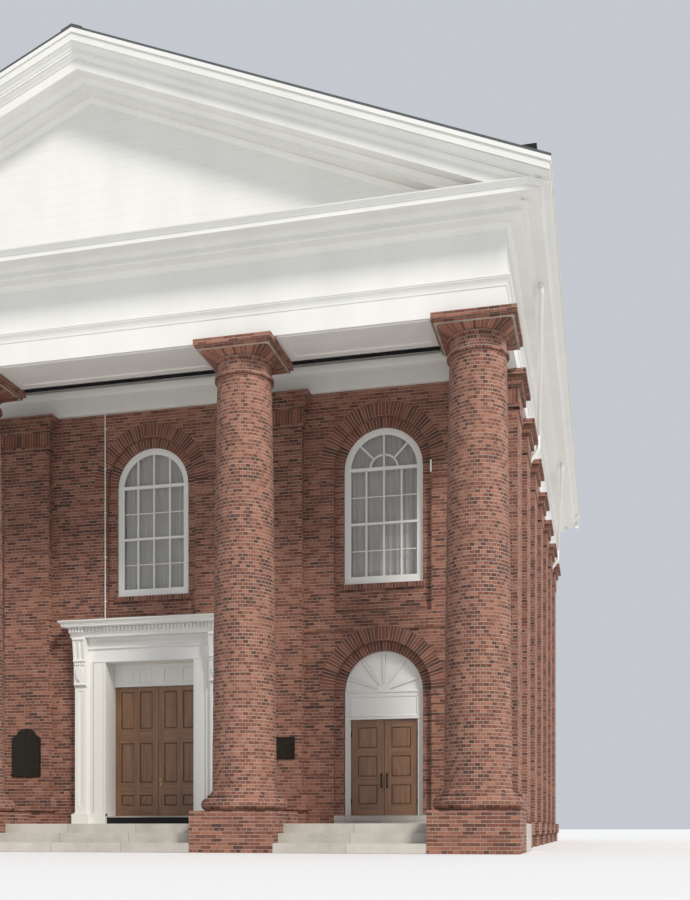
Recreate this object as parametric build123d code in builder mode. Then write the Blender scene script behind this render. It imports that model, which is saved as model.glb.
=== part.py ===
from build123d import *
import os

# A brick church with a four-column portico, in millimetres. The origin lies on the ground
# at the middle of the plan. +X is the right-hand side, -Y the street front, +Z up.

# Plan
OUTER_COLUMN_X = 7600
INNER_COLUMN_X = 3000
BEAM_HALF = 570
PORCH_DEPTH = 2300
HALL_LENGTH = 17570
SIDE_BAYS = 6
FRONT_WALL_T = 500
SIDE_WALL_T = 450
PILASTER_W = 1130
PILASTER_OUT = 150

# Levels above the ground
PORCH_Z = 560
HALL_Z = 740
PLINTH_Z = 800
STOREY_Z = 5000
CAPITAL_Z = 9850
ARCHITRAVE_Z = 10420
TAENIA_Z = 10500
FRIEZE_Z = 11400
BED_Z = 11600
CORONA_Z = 11800
EAVES_Z = 12060
RIDGE_Z = 15820

# Projections from the frieze's face
TAENIA_OUT = 60
BED_OUT = 300
CORONA_OUT = 620
CROWN_STEP_OUT = 720
CROWN_OUT = 820
CORNICE_INSET = 400

# Board and slab thicknesses
BOARD_T = 80
CEILING_T = 80
FLOOR_T = 200
ROOF_T = 130
ROOF_EDGE = 25
RIDGE_CAP_T = 25
RIDGE_CAP_HALF = 220
TYMPANUM_T = 80

# Raking cornice, each depth measured straight down from the roof boards
RAKE_CROWN_D = 140
RAKE_STEP_D = 280
RAKE_CORONA_D = 560
RAKE_BED_D = 720

# Columns
PLINTH_HALF = 840
TORUS_R = 850
TORUS_H = 260
FILLET_R = 730
FILLET_H = 60
FLARE_H = 90
FLARE_OUT = 54
SHAFT_FOOT_R = 630
SHAFT_TOP_R = 535
ENTASIS = 16
ASTRAGAL_Z = 9230
ASTRAGAL_H = 60
ASTRAGAL_OUT = 48
NECK_H = 230
ANNULET_H = 40
ANNULET_OUT = 52
ECHINUS_H = 110
ECHINUS_HALF = 700
ECHINUS_LOW_ROUND = 500
ECHINUS_TOP_ROUND = 70
ABACUS_LOW_HALF = 730
ABACUS_LOW_H = 70
ABACUS_HALF = 780

# Pilaster capital and foot
PILASTER_NECK_Z = 9120
PILASTER_NECK_OUT = 25
PILASTER_FLARE_Z = 9560
PILASTER_FLARE_OUT = 90
PILASTER_ABACUS_Z = 9740
PILASTER_ABACUS_OUT = 180
PILASTER_FOOT_H = 300
PILASTER_FOOT_OUT = 110
PILASTER_TORUS_H = 320
PILASTER_TORUS_OUT = 60

# Steps
RISERS = 3
TREAD = 350

# Arched bays of the front wall
BAY_X = (OUTER_COLUMN_X + INNER_COLUMN_X) / 2
RECESS_R = 1060
RECESS_D = 100
OPENING_R = 860
LOWER_SPRING_Z = 3410
UPPER_SPRING_Z = 8190
UPPER_RECESS_Z = 5080
UPPER_SILL_Z = 5710
IMPOST_H = 300
IMPOST_OUT = 25
STRING_H = 290
KEY_W = 300
RING_T = 310

# Windows
SIDE_WINDOW_R = 500
LOWER_SILL_Z = 1700
FRAME_W = 90
FRAME_T = 130
FRAME_SET = 60
GLASS_T = 12
SILL_H = 110
SILL_OUT = 50

# Side doors
SIDE_LEAF_TOP = 2800
SIDE_JAMB_W = 125
SIDE_LEAF_SET = 230
SIDE_LEAF_T = 55
SIDE_FRAME_D = 140
SIDE_FRAME_LEAD = 31

# Main door
MAIN_OPENING_HALF = 1120
MAIN_JAMB_W = 60
MAIN_LEAF_TOP = 3700
MAIN_OPENING_Z = 4220
MAIN_LEAF_T = 70
MAIN_PANEL_T = 90
SURROUND_HALF = 1770
DOOR_PILASTER_W = 290
DOOR_PILASTER_OUT = 170
ARCHITRAVE_OUT = 90
DOOR_FOOT_H = 230
DOOR_FOOT_OUT = 60
DOOR_FRIEZE_Z = 4850
DOOR_NECK_OUT = 250
DOOR_DENTIL_OUT = 260
DOOR_CORNICE_Z = 5000
DOOR_CORNICE_TOP = 5130
DOOR_CORNICE_OUT = 400
CONSOLE_Z = 3680
CONSOLE_OUT = 130
CONSOLE_WAIST_OUT = 65
CONSOLE_FOOT_OUT = 45
DOOR_NECK_H = 80

# Door gear
LEAF_GAP = 5
MEETING_GAP = 8
FLOOR_GAP = 8
KNUCKLE_R = 11
KNUCKLE_H = 120
KNUCKLE_END = 300
SEAT = 0.3
PANEL_SUNK = 14
MAIN_STILE = 140
SIDE_STILE = 150

# Downspouts
PIPE_R = 50
PIPE_OUT_X = 480
PIPE_SET = 60
PIPE_BEND_R = 90
PIPE_RUN = 4250
PIPE_DROP = 150
PIPE_PASS_Z = 10050
PIPE_KNEE_Z = 9700
PIPE_WALL_Z = 9300
PIPE_FOOT_Z = 150
PIPE_MARGIN = 150

# Derived places
FACE_X = OUTER_COLUMN_X + BEAM_HALF
WALL_X = FACE_X - PILASTER_OUT
LENGTH = 2 * CROWN_OUT + BEAM_HALF + PORCH_DEPTH + HALL_LENGTH + PILASTER_OUT
FACE_Y = -LENGTH / 2 + CROWN_OUT
COLUMN_Y = FACE_Y + BEAM_HALF
WALL_Y = COLUMN_Y + PORCH_DEPTH
REAR_Y = WALL_Y + HALL_LENGTH
REAR_FACE_Y = REAR_Y + PILASTER_OUT
HALL_Y = WALL_Y + FRONT_WALL_T
HALL_REAR_Y = REAR_Y - SIDE_WALL_T
HALL_X = WALL_X - SIDE_WALL_T
BEAM_X = OUTER_COLUMN_X - BEAM_HALF
ROOF_X = FACE_X + CROWN_OUT
SLOPE = (RIDGE_Z - EAVES_Z) / ROOF_X
FIRST_PILASTER_Y = WALL_Y - PILASTER_OUT + PILASTER_W / 2
LAST_PILASTER_Y = REAR_Y + PILASTER_OUT - PILASTER_W / 2
BAY_LENGTH = (LAST_PILASTER_Y - FIRST_PILASTER_Y) / SIDE_BAYS
BAY_CENTRES = [FIRST_PILASTER_Y + (i + 0.5) * BAY_LENGTH for i in range(SIDE_BAYS)]
COLUMNS_X = (-OUTER_COLUMN_X, -INNER_COLUMN_X, INNER_COLUMN_X, OUTER_COLUMN_X)
DOOR_LEAF_Z = HALL_Z + FLOOR_GAP

os.makedirs("parts", exist_ok=True)


def block(x0, x1, y0, y1, z0, z1, mode=Mode.ADD):
    """A box given by its lowest and highest coordinates."""
    with Locations(((x0 + x1) / 2, (y0 + y1) / 2, (z0 + z1) / 2)):
        Box(x1 - x0, y1 - y0, z1 - z0, mode=mode)


def round_head(across, radius, z0, spring):
    """Draws an opening with a half-round head in the sketch that is open."""
    with Locations((across, spring)):
        Circle(radius)
    with Locations((across, spring - radius / 2)):
        Rectangle(2 * radius, radius, mode=Mode.SUBTRACT)
    with Locations((across, (z0 + spring) / 2)):
        Rectangle(2 * radius, spring - z0)


def arch(x, radius, z0, spring, y0, y1, mode=Mode.SUBTRACT):
    """A round-headed body through the front or rear wall, from y0 to y1."""
    with BuildSketch(Plane.XZ.offset(-y1)) as outline:
        round_head(x, radius, z0, spring)
    extrude(outline.sketch, amount=y1 - y0, mode=mode)


def side_arch(y, radius, z0, spring, x0, x1, mode=Mode.SUBTRACT):
    """A round-headed body through a side wall, from x0 to x1."""
    with BuildSketch(Plane.YZ.offset(x0)) as outline:
        round_head(y, radius, z0, spring)
    extrude(outline.sketch, amount=x1 - x0, mode=mode)


def roof_z(x, below=0):
    """The roof's top surface at x, less a depth measured straight down."""
    return RIDGE_Z - SLOPE * abs(x) - below


def save(part, name):
    """Labels a finished piece and writes it."""
    part.part.label = name
    export_step(part.part, f"parts/{name}.step")


# Porch platform, steps and plinths
with BuildPart() as column_plinths:
    for x in COLUMNS_X:
        block(x - PLINTH_HALF, x + PLINTH_HALF, COLUMN_Y - PLINTH_HALF,
              COLUMN_Y + PLINTH_HALF, 0, PLINTH_Z)
save(column_plinths, "column_plinths")

STEPS_BACK_Y = COLUMN_Y - PLINTH_HALF + (RISERS - 1) * TREAD

with BuildPart() as porch_floor:
    block(-OUTER_COLUMN_X - PLINTH_HALF, OUTER_COLUMN_X + PLINTH_HALF, STEPS_BACK_Y, WALL_Y,
          0, PORCH_Z)
    for x in COLUMNS_X:
        block(x - PLINTH_HALF, x + PLINTH_HALF, COLUMN_Y - PLINTH_HALF,
              COLUMN_Y + PLINTH_HALF, 0, PORCH_Z, mode=Mode.SUBTRACT)
save(porch_floor, "porch_floor")

with BuildPart() as front_steps:
    for left, right in zip(COLUMNS_X, COLUMNS_X[1:]):
        for i in range(RISERS - 1):
            block(left + PLINTH_HALF, right - PLINTH_HALF,
                  STEPS_BACK_Y - (RISERS - 1 - i) * TREAD, STEPS_BACK_Y,
                  i * PORCH_Z / RISERS, (i + 1) * PORCH_Z / RISERS)
save(front_steps, "front_steps")

# Columns
SHAFT_FOOT_Z = PLINTH_Z + TORUS_H + FILLET_H + FLARE_H
NECK_TOP_Z = ASTRAGAL_Z + ASTRAGAL_H + NECK_H
ECHINUS_Z = NECK_TOP_Z + ANNULET_H
ABACUS_LOW_Z = ECHINUS_Z + ECHINUS_H
ABACUS_Z = ABACUS_LOW_Z + ABACUS_LOW_H
SHAFT_WAIST = ((SHAFT_FOOT_R + SHAFT_TOP_R) / 2 + ENTASIS, (SHAFT_FOOT_Z + ASTRAGAL_Z) / 2)

with BuildPart() as one_base:
    with BuildSketch(Plane.XZ):
        with BuildLine():
            torus_x = TORUS_R - TORUS_H / 2
            foot = Line((0, PLINTH_Z), (torus_x, PLINTH_Z))
            roll = ThreePointArc(foot @ 1, (TORUS_R, PLINTH_Z + TORUS_H / 2),
                                 (torus_x, PLINTH_Z + TORUS_H))
            fillet_top = PLINTH_Z + TORUS_H + FILLET_H
            ledge = Polyline(roll @ 1, (FILLET_R, PLINTH_Z + TORUS_H), (FILLET_R, fillet_top),
                             (SHAFT_FOOT_R + FLARE_OUT, fillet_top))
            flare = Line(ledge @ 1, (SHAFT_FOOT_R, SHAFT_FOOT_Z))
            Polyline(flare @ 1, (0, SHAFT_FOOT_Z), (0, PLINTH_Z))
        make_face()
    revolve(axis=Axis.Z)

with BuildPart() as column_bases:
    with Locations(*[(x, COLUMN_Y) for x in COLUMNS_X]):
        add(one_base.part)
save(column_bases, "column_bases")

with BuildPart() as one_shaft:
    with BuildSketch(Plane.XZ):
        with BuildLine():
            foot = Line((0, SHAFT_FOOT_Z), (SHAFT_FOOT_R, SHAFT_FOOT_Z))
            side = ThreePointArc(foot @ 1, SHAFT_WAIST, (SHAFT_TOP_R, ASTRAGAL_Z))
            Polyline(side @ 1, (0, ASTRAGAL_Z), (0, SHAFT_FOOT_Z))
        make_face()
    revolve(axis=Axis.Z)

with BuildPart() as column_shafts:
    with Locations(*[(x, COLUMN_Y) for x in COLUMNS_X]):
        add(one_shaft.part)
save(column_shafts, "column_shafts")

with BuildPart() as one_capital:
    with BuildSketch(Plane.XY.offset(ASTRAGAL_Z)):
        Circle(SHAFT_TOP_R + ASTRAGAL_OUT)
    extrude(amount=ASTRAGAL_H)
    with BuildSketch(Plane.XY.offset(ASTRAGAL_Z + ASTRAGAL_H)):
        Circle(SHAFT_TOP_R)
    extrude(amount=NECK_H)
    with BuildSketch(Plane.XY.offset(NECK_TOP_Z)):
        Circle(SHAFT_TOP_R + ANNULET_OUT)
    extrude(amount=ANNULET_H)
    with BuildSketch(Plane.XY.offset(ECHINUS_Z)):
        RectangleRounded(2 * SHAFT_TOP_R, 2 * SHAFT_TOP_R, ECHINUS_LOW_ROUND)
    with BuildSketch(Plane.XY.offset(ABACUS_LOW_Z)):
        RectangleRounded(2 * ECHINUS_HALF, 2 * ECHINUS_HALF, ECHINUS_TOP_ROUND)
    loft()
    with BuildSketch(Plane.XY.offset(ABACUS_LOW_Z)):
        Rectangle(2 * ABACUS_LOW_HALF, 2 * ABACUS_LOW_HALF)
    extrude(amount=ABACUS_LOW_H)
    with BuildSketch(Plane.XY.offset(ABACUS_Z)):
        Rectangle(2 * ABACUS_HALF, 2 * ABACUS_HALF)
    extrude(amount=CAPITAL_Z - ABACUS_Z)

with BuildPart() as column_capitals:
    with Locations(*[(x, COLUMN_Y) for x in COLUMNS_X]):
        add(one_capital.part)
save(column_capitals, "column_capitals")

# Front wall, split beside and over the doorways that open
DOORWAYS = (
    (-BAY_X - OPENING_R, -BAY_X + OPENING_R),
    (-MAIN_OPENING_HALF, MAIN_OPENING_HALF),
    (BAY_X - OPENING_R, BAY_X + OPENING_R),
)
PILASTER_FLANK_X = INNER_COLUMN_X + PILASTER_W / 2
CORNER_FLANK_X = FACE_X - PILASTER_W

with BuildPart() as front_wall_base:
    block(-WALL_X, WALL_X, WALL_Y, HALL_Y, 0, PORCH_Z)
save(front_wall_base, "front_wall_base")

with BuildPart() as front_wall_piers:
    edges = [-WALL_X] + [x for doorway in DOORWAYS for x in doorway] + [WALL_X]
    for x0, x1 in zip(edges[::2], edges[1::2]):
        block(x0, x1, WALL_Y, HALL_Y, PORCH_Z, LOWER_SPRING_Z)
    for side in (-1, 1):
        recess_x = side * BAY_X
        block(recess_x - RECESS_R, recess_x + RECESS_R, WALL_Y, WALL_Y + RECESS_D, PORCH_Z,
              LOWER_SPRING_Z, mode=Mode.SUBTRACT)
        for a, b in ((PILASTER_FLANK_X, BAY_X - RECESS_R), (BAY_X + RECESS_R, CORNER_FLANK_X)):
            block(min(side * a, side * b), max(side * a, side * b), WALL_Y - IMPOST_OUT, WALL_Y,
                  LOWER_SPRING_Z - IMPOST_H, LOWER_SPRING_Z)
save(front_wall_piers, "front_wall_piers")

with BuildPart() as front_wall_arches:
    for side in (-1, 1):
        x0, x1 = sorted((side * MAIN_OPENING_HALF, side * WALL_X))
        block(x0, x1, WALL_Y, HALL_Y, LOWER_SPRING_Z, STOREY_Z)
        string_x0, string_x1 = sorted((side * PILASTER_FLANK_X, side * CORNER_FLANK_X))
        block(string_x0, string_x1, WALL_Y - IMPOST_OUT, WALL_Y, STOREY_Z - STRING_H, STOREY_Z)
        key_x = side * BAY_X
        block(key_x - KEY_W / 2, key_x + KEY_W / 2, WALL_Y - 2 * IMPOST_OUT, WALL_Y,
              LOWER_SPRING_Z + RECESS_R, LOWER_SPRING_Z + RECESS_R + RING_T)
        arch(key_x, RECESS_R, LOWER_SPRING_Z - RECESS_R, LOWER_SPRING_Z,
             WALL_Y - 2 * IMPOST_OUT, WALL_Y + RECESS_D)
        arch(key_x, OPENING_R, LOWER_SPRING_Z - OPENING_R, LOWER_SPRING_Z, WALL_Y, HALL_Y)
save(front_wall_arches, "front_wall_arches")

with BuildPart() as front_wall_lintel:
    block(-MAIN_OPENING_HALF, MAIN_OPENING_HALF, WALL_Y, HALL_Y, MAIN_OPENING_Z, STOREY_Z)
save(front_wall_lintel, "front_wall_lintel")

BAYS_X = (-BAY_X, 0, BAY_X)
SILL_Z = UPPER_SILL_Z - SILL_H

with BuildPart() as front_wall_upper:
    block(-WALL_X, WALL_X, WALL_Y, HALL_Y, STOREY_Z, CAPITAL_Z)
    for x0, x1 in ((-CORNER_FLANK_X, -PILASTER_FLANK_X), (-PILASTER_FLANK_X + PILASTER_W,
                   PILASTER_FLANK_X - PILASTER_W), (PILASTER_FLANK_X, CORNER_FLANK_X)):
        block(x0, x1, WALL_Y - IMPOST_OUT, WALL_Y, UPPER_SPRING_Z - IMPOST_H, UPPER_SPRING_Z)
    for x in BAYS_X:
        block(x - KEY_W / 2, x + KEY_W / 2, WALL_Y - IMPOST_OUT, WALL_Y,
              UPPER_SPRING_Z + RECESS_R, UPPER_SPRING_Z + RECESS_R + RING_T)
        arch(x, RECESS_R, UPPER_RECESS_Z, UPPER_SPRING_Z, WALL_Y - IMPOST_OUT,
             WALL_Y + RECESS_D)
        arch(x, OPENING_R, UPPER_SILL_Z, UPPER_SPRING_Z, WALL_Y, HALL_Y)
        block(x - OPENING_R - SILL_OUT, x + OPENING_R + SILL_OUT,
              WALL_Y + RECESS_D - SILL_OUT, WALL_Y + RECESS_D, SILL_Z, UPPER_SILL_Z)
save(front_wall_upper, "front_wall_upper")

# Side and rear walls
WINDOW_ROWS = ((LOWER_SILL_Z, LOWER_SPRING_Z), (UPPER_SILL_Z, UPPER_SPRING_Z))

with BuildPart() as right_wall:
    block(HALL_X, WALL_X, HALL_Y, REAR_Y, 0, CAPITAL_Z)
    for sill, spring in WINDOW_ROWS:
        for y in BAY_CENTRES:
            side_arch(y, SIDE_WINDOW_R, sill, spring, HALL_X, WALL_X)
save(right_wall, "right_wall")

with BuildPart() as left_wall:
    mirror(right_wall.part, about=Plane.YZ)
save(left_wall, "left_wall")

with BuildPart() as rear_wall:
    block(-HALL_X, HALL_X, HALL_REAR_Y, REAR_Y, 0, CAPITAL_Z)
    for sill, spring in WINDOW_ROWS:
        for x in BAYS_X:
            arch(x, OPENING_R, sill, spring, HALL_REAR_Y, REAR_Y)
save(rear_wall, "rear_wall")


# Pilasters
def pilaster(x, y, foot_z=PORCH_Z):
    """A square pilaster with its foot and capital, still whole where the wall will cut it."""
    half = PILASTER_W / 2
    layers = (
        (foot_z, foot_z + PILASTER_FOOT_H, PILASTER_TORUS_OUT),
        (foot_z + PILASTER_FOOT_H, foot_z + PILASTER_FOOT_H + PILASTER_TORUS_H,
         PILASTER_FOOT_OUT),
        (foot_z, PILASTER_NECK_Z, 0),
        (PILASTER_NECK_Z, PILASTER_FLARE_Z, PILASTER_NECK_OUT),
        (PILASTER_FLARE_Z, PILASTER_ABACUS_Z, PILASTER_FLARE_OUT),
        (PILASTER_ABACUS_Z, CAPITAL_Z, PILASTER_ABACUS_OUT),
    )
    for z0, z1, out in layers:
        reach = half + out
        block(x - reach, x + reach, y - reach, y + reach, z0, z1)


def cut_by_hall():
    """Leaves only what stands out from the walls."""
    block(-WALL_X, WALL_X, WALL_Y, REAR_Y, 0, CAPITAL_Z, mode=Mode.SUBTRACT)


CORNER_X = FACE_X - PILASTER_W / 2

with BuildPart() as front_pilasters:
    for x in (-CORNER_X, -INNER_COLUMN_X, INNER_COLUMN_X, CORNER_X):
        pilaster(x, FIRST_PILASTER_Y)
    for x0, x1 in ((-FACE_X, -WALL_X), (WALL_X, FACE_X)):
        block(x0, x1, WALL_Y, FIRST_PILASTER_Y + PILASTER_W / 2, 0, PORCH_Z)
    cut_by_hall()
save(front_pilasters, "front_pilasters")

with BuildPart() as rear_pilasters:
    for x in (-CORNER_X, -INNER_COLUMN_X, INNER_COLUMN_X, CORNER_X):
        pilaster(x, LAST_PILASTER_Y, foot_z=0)
    cut_by_hall()
save(rear_pilasters, "rear_pilasters")

with BuildPart() as side_pilasters:
    for x in (-CORNER_X, CORNER_X):
        for i in range(1, SIDE_BAYS):
            pilaster(x, FIRST_PILASTER_Y + i * BAY_LENGTH, foot_z=0)
    cut_by_hall()
save(side_pilasters, "side_pilasters")

# Floors and ceilings
with BuildPart() as ground_floor:
    block(-HALL_X, HALL_X, HALL_Y, HALL_REAR_Y, HALL_Z - FLOOR_T, HALL_Z)
save(ground_floor, "ground_floor")

with BuildPart() as upper_floor:
    block(-HALL_X, HALL_X, HALL_Y, HALL_REAR_Y, STOREY_Z - FLOOR_T, STOREY_Z)
save(upper_floor, "upper_floor")

with BuildPart() as hall_ceiling:
    block(-HALL_X, HALL_X, HALL_Y, HALL_REAR_Y, TAENIA_Z, TAENIA_Z + CEILING_T)
save(hall_ceiling, "hall_ceiling")

with BuildPart() as porch_ceiling:
    block(-BEAM_X, BEAM_X, COLUMN_Y + BEAM_HALF, WALL_Y, TAENIA_Z, TAENIA_Z + CEILING_T)
save(porch_ceiling, "porch_ceiling")

with BuildPart() as porch_wall_band:
    block(-BEAM_X, BEAM_X, WALL_Y - BOARD_T, HALL_Y, CAPITAL_Z, TAENIA_Z)
save(porch_wall_band, "porch_wall_band")


# Entablature, as boxed beams open at the top under the cornice
def boxed(x0, x1, y0, y1):
    """A channel of boards over a plan rectangle, from the capitals to the cornice."""
    block(x0, x1, y0, y1, CAPITAL_Z, FRIEZE_Z)
    block(x0 + BOARD_T, x1 - BOARD_T, y0 + BOARD_T, y1 - BOARD_T, CAPITAL_Z + BOARD_T,
          FRIEZE_Z, mode=Mode.SUBTRACT)


with BuildPart() as entablature_front:
    boxed(-FACE_X, FACE_X, FACE_Y, COLUMN_Y + BEAM_HALF)
    block(-FACE_X - TAENIA_OUT, FACE_X + TAENIA_OUT, FACE_Y - TAENIA_OUT, FACE_Y,
          ARCHITRAVE_Z, TAENIA_Z)
save(entablature_front, "entablature_front")

with BuildPart() as entablature_rear:
    boxed(-HALL_X, HALL_X, HALL_REAR_Y, REAR_FACE_Y)
    block(-HALL_X, HALL_X, REAR_FACE_Y, REAR_FACE_Y + TAENIA_OUT, ARCHITRAVE_Z, TAENIA_Z)
save(entablature_rear, "entablature_rear")

with BuildPart() as porch_side_beams:
    boxed(BEAM_X, FACE_X, COLUMN_Y + BEAM_HALF, HALL_Y)
    block(FACE_X, FACE_X + TAENIA_OUT, FACE_Y, HALL_Y, ARCHITRAVE_Z, TAENIA_Z)
    mirror(about=Plane.YZ)
save(porch_side_beams, "porch_side_beams")

with BuildPart() as side_entablatures:
    boxed(HALL_X, FACE_X, HALL_Y, REAR_FACE_Y)
    block(FACE_X, FACE_X + TAENIA_OUT, HALL_Y, REAR_FACE_Y + TAENIA_OUT, ARCHITRAVE_Z,
          TAENIA_Z)
    block(HALL_X, FACE_X, REAR_FACE_Y, REAR_FACE_Y + TAENIA_OUT, ARCHITRAVE_Z, TAENIA_Z)
    mirror(about=Plane.YZ)
save(side_entablatures, "side_entablatures")

# Cornice, in four lengths mitred at the corners
CORNICE_LAYERS = ((BED_OUT, FRIEZE_Z, BED_Z), (CORONA_OUT, BED_Z, CORONA_Z))
INNER_X = FACE_X - CORNICE_INSET
INNER_FRONT_Y = FACE_Y + CORNICE_INSET
INNER_REAR_Y = REAR_FACE_Y - CORNICE_INSET


def layer(corners, z0, z1):
    """A flat-topped layer over a plan outline."""
    with BuildSketch(Plane.XY.offset(z0)) as outline:
        with BuildLine():
            Polyline(*corners, close=True)
        make_face()
    extrude(outline.sketch, amount=z1 - z0)


with BuildPart() as gable_cornices:
    for out, z0, z1 in CORNICE_LAYERS:
        layer(((-FACE_X - out, FACE_Y - out), (FACE_X + out, FACE_Y - out),
               (INNER_X, INNER_FRONT_Y), (-INNER_X, INNER_FRONT_Y)), z0, z1)
    mirror(about=Plane.XZ)
save(gable_cornices, "gable_cornices")

with BuildPart() as side_cornices:
    for out, z0, z1 in CORNICE_LAYERS:
        layer(((FACE_X + out, FACE_Y - out), (FACE_X + out, REAR_FACE_Y + out),
               (INNER_X, INNER_REAR_Y), (INNER_X, INNER_FRONT_Y)), z0, z1)
    with BuildSketch(Plane.XZ.offset(-REAR_FACE_Y)):
        with BuildLine():
            Polyline((INNER_X, CORONA_Z), (FACE_X + CORONA_OUT, CORONA_Z),
                     (FACE_X + CROWN_STEP_OUT, (CORONA_Z + EAVES_Z - ROOF_T) / 2),
                     (ROOF_X, roof_z(ROOF_X, ROOF_T)), (INNER_X, roof_z(INNER_X, ROOF_T)),
                     close=True)
        make_face()
    extrude(amount=REAR_FACE_Y - FACE_Y)
    mirror(about=Plane.YZ)
save(side_cornices, "side_cornices")


# Pediments
def gable_band(half_width, top, bottom, y0, y1):
    """An inverted V between two depths under the roof's top surface."""
    with BuildSketch(Plane.XZ.offset(-y1)) as outline:
        with BuildLine():
            Polyline((-half_width, roof_z(half_width, top)), (0, roof_z(0, top)),
                     (half_width, roof_z(half_width, top)),
                     (half_width, roof_z(half_width, bottom)), (0, roof_z(0, bottom)),
                     (-half_width, roof_z(half_width, bottom)), close=True)
        make_face()
    extrude(outline.sketch, amount=y1 - y0)


RAKE_LAYERS = (
    (CROWN_OUT, 0, RAKE_CROWN_D),
    (CROWN_STEP_OUT, RAKE_CROWN_D, RAKE_STEP_D),
    (CORONA_OUT, RAKE_STEP_D, RAKE_CORONA_D),
    (BED_OUT, RAKE_CORONA_D, RAKE_BED_D),
)

with BuildPart() as tympanums:
    with BuildSketch(Plane.XZ.offset(-FACE_Y - TYMPANUM_T)):
        with BuildLine():
            Polyline((-INNER_X, CORONA_Z), (INNER_X, CORONA_Z),
                     (INNER_X, roof_z(INNER_X, ROOF_T)), (0, roof_z(0, ROOF_T)),
                     (-INNER_X, roof_z(INNER_X, ROOF_T)), close=True)
        make_face()
    extrude(amount=TYMPANUM_T)
    mirror(about=Plane.XZ)
save(tympanums, "tympanums")

with BuildPart() as raking_cornices:
    for out, top, bottom in RAKE_LAYERS:
        gable_band(ROOF_X, ROOF_T + top, ROOF_T + bottom, FACE_Y - out, FACE_Y)
    block(-ROOF_X, ROOF_X, FACE_Y - CROWN_OUT, FACE_Y, 0, CORONA_Z, mode=Mode.SUBTRACT)
    mirror(about=Plane.XZ)
save(raking_cornices, "raking_cornices")

# Roof
ROOF_EDGE_X = ROOF_X + ROOF_EDGE
ROOF_FRONT_Y = FACE_Y - CROWN_OUT - ROOF_EDGE
ROOF_REAR_Y = REAR_FACE_Y + CROWN_OUT + ROOF_EDGE

with BuildPart() as roof_slope_right:
    with BuildSketch(Plane.XZ.offset(-ROOF_REAR_Y)):
        with BuildLine():
            Polyline((0, roof_z(0)), (ROOF_EDGE_X, roof_z(ROOF_EDGE_X)),
                     (ROOF_EDGE_X, roof_z(ROOF_EDGE_X, ROOF_T)), (0, roof_z(0, ROOF_T)),
                     close=True)
        make_face()
    extrude(amount=ROOF_REAR_Y - ROOF_FRONT_Y)
save(roof_slope_right, "roof_slope_right")

with BuildPart() as roof_slope_left:
    mirror(roof_slope_right.part, about=Plane.YZ)
save(roof_slope_left, "roof_slope_left")

with BuildPart() as roof_ridge_cap:
    gable_band(RIDGE_CAP_HALF, -RIDGE_CAP_T, 0, ROOF_FRONT_Y, ROOF_REAR_Y)
save(roof_ridge_cap, "roof_ridge_cap")

# Windows
FRONT_FRAME_Y = WALL_Y + RECESS_D + FRAME_SET
REAR_FRAME_Y = REAR_Y - FRAME_SET - FRAME_T
SIDE_FRAME_X = WALL_X - FRAME_SET - FRAME_T


def frame(make, across, radius, sill, spring, start):
    """A round-headed window frame, made by arch or side_arch."""
    make(across, radius, sill, spring, start, start + FRAME_T, mode=Mode.ADD)
    make(across, radius - FRAME_W, sill + FRAME_W, spring, start, start + FRAME_T)


def pane(make, across, radius, sill, spring, start):
    """The glass of one window, in the middle of its frame."""
    glass = start + (FRAME_T - GLASS_T) / 2
    make(across, radius - FRAME_W, sill + FRAME_W, spring, glass, glass + GLASS_T,
         mode=Mode.ADD)


def storey_windows(fill, row, with_front):
    """Fills one row of windows round the hall with frames or with panes."""
    sill, spring = WINDOW_ROWS[row]
    for x in BAYS_X:
        if with_front:
            fill(arch, x, OPENING_R, sill, spring, FRONT_FRAME_Y)
        fill(arch, x, OPENING_R, sill, spring, REAR_FRAME_Y)
    for start in (SIDE_FRAME_X, -SIDE_FRAME_X - FRAME_T):
        for y in BAY_CENTRES:
            fill(side_arch, y, SIDE_WINDOW_R, sill, spring, start)


with BuildPart() as window_frames_upper:
    storey_windows(frame, 1, with_front=True)
save(window_frames_upper, "window_frames_upper")

with BuildPart() as window_frames_lower:
    storey_windows(frame, 0, with_front=False)
save(window_frames_lower, "window_frames_lower")

with BuildPart() as window_glass_upper:
    storey_windows(pane, 1, with_front=True)
save(window_glass_upper, "window_glass_upper")

with BuildPart() as window_glass_lower:
    storey_windows(pane, 0, with_front=False)
save(window_glass_lower, "window_glass_lower")

# Thresholds of the three doorways
with BuildPart() as door_thresholds:
    block(-MAIN_OPENING_HALF, MAIN_OPENING_HALF, WALL_Y, HALL_Y, PORCH_Z, HALL_Z)
    for x in (-BAY_X, BAY_X):
        block(x - RECESS_R, x + RECESS_R, WALL_Y, WALL_Y + RECESS_D, PORCH_Z, HALL_Z)
        block(x - OPENING_R, x + OPENING_R, WALL_Y + RECESS_D, HALL_Y, PORCH_Z, HALL_Z)
save(door_thresholds, "door_thresholds")

# Main door
MAIN_CLEAR_HALF = MAIN_OPENING_HALF - MAIN_JAMB_W
DOOR_PILASTER_X = SURROUND_HALF - DOOR_PILASTER_W
CONSOLE_TOP_Z = DOOR_FRIEZE_Z - DOOR_NECK_H

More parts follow.
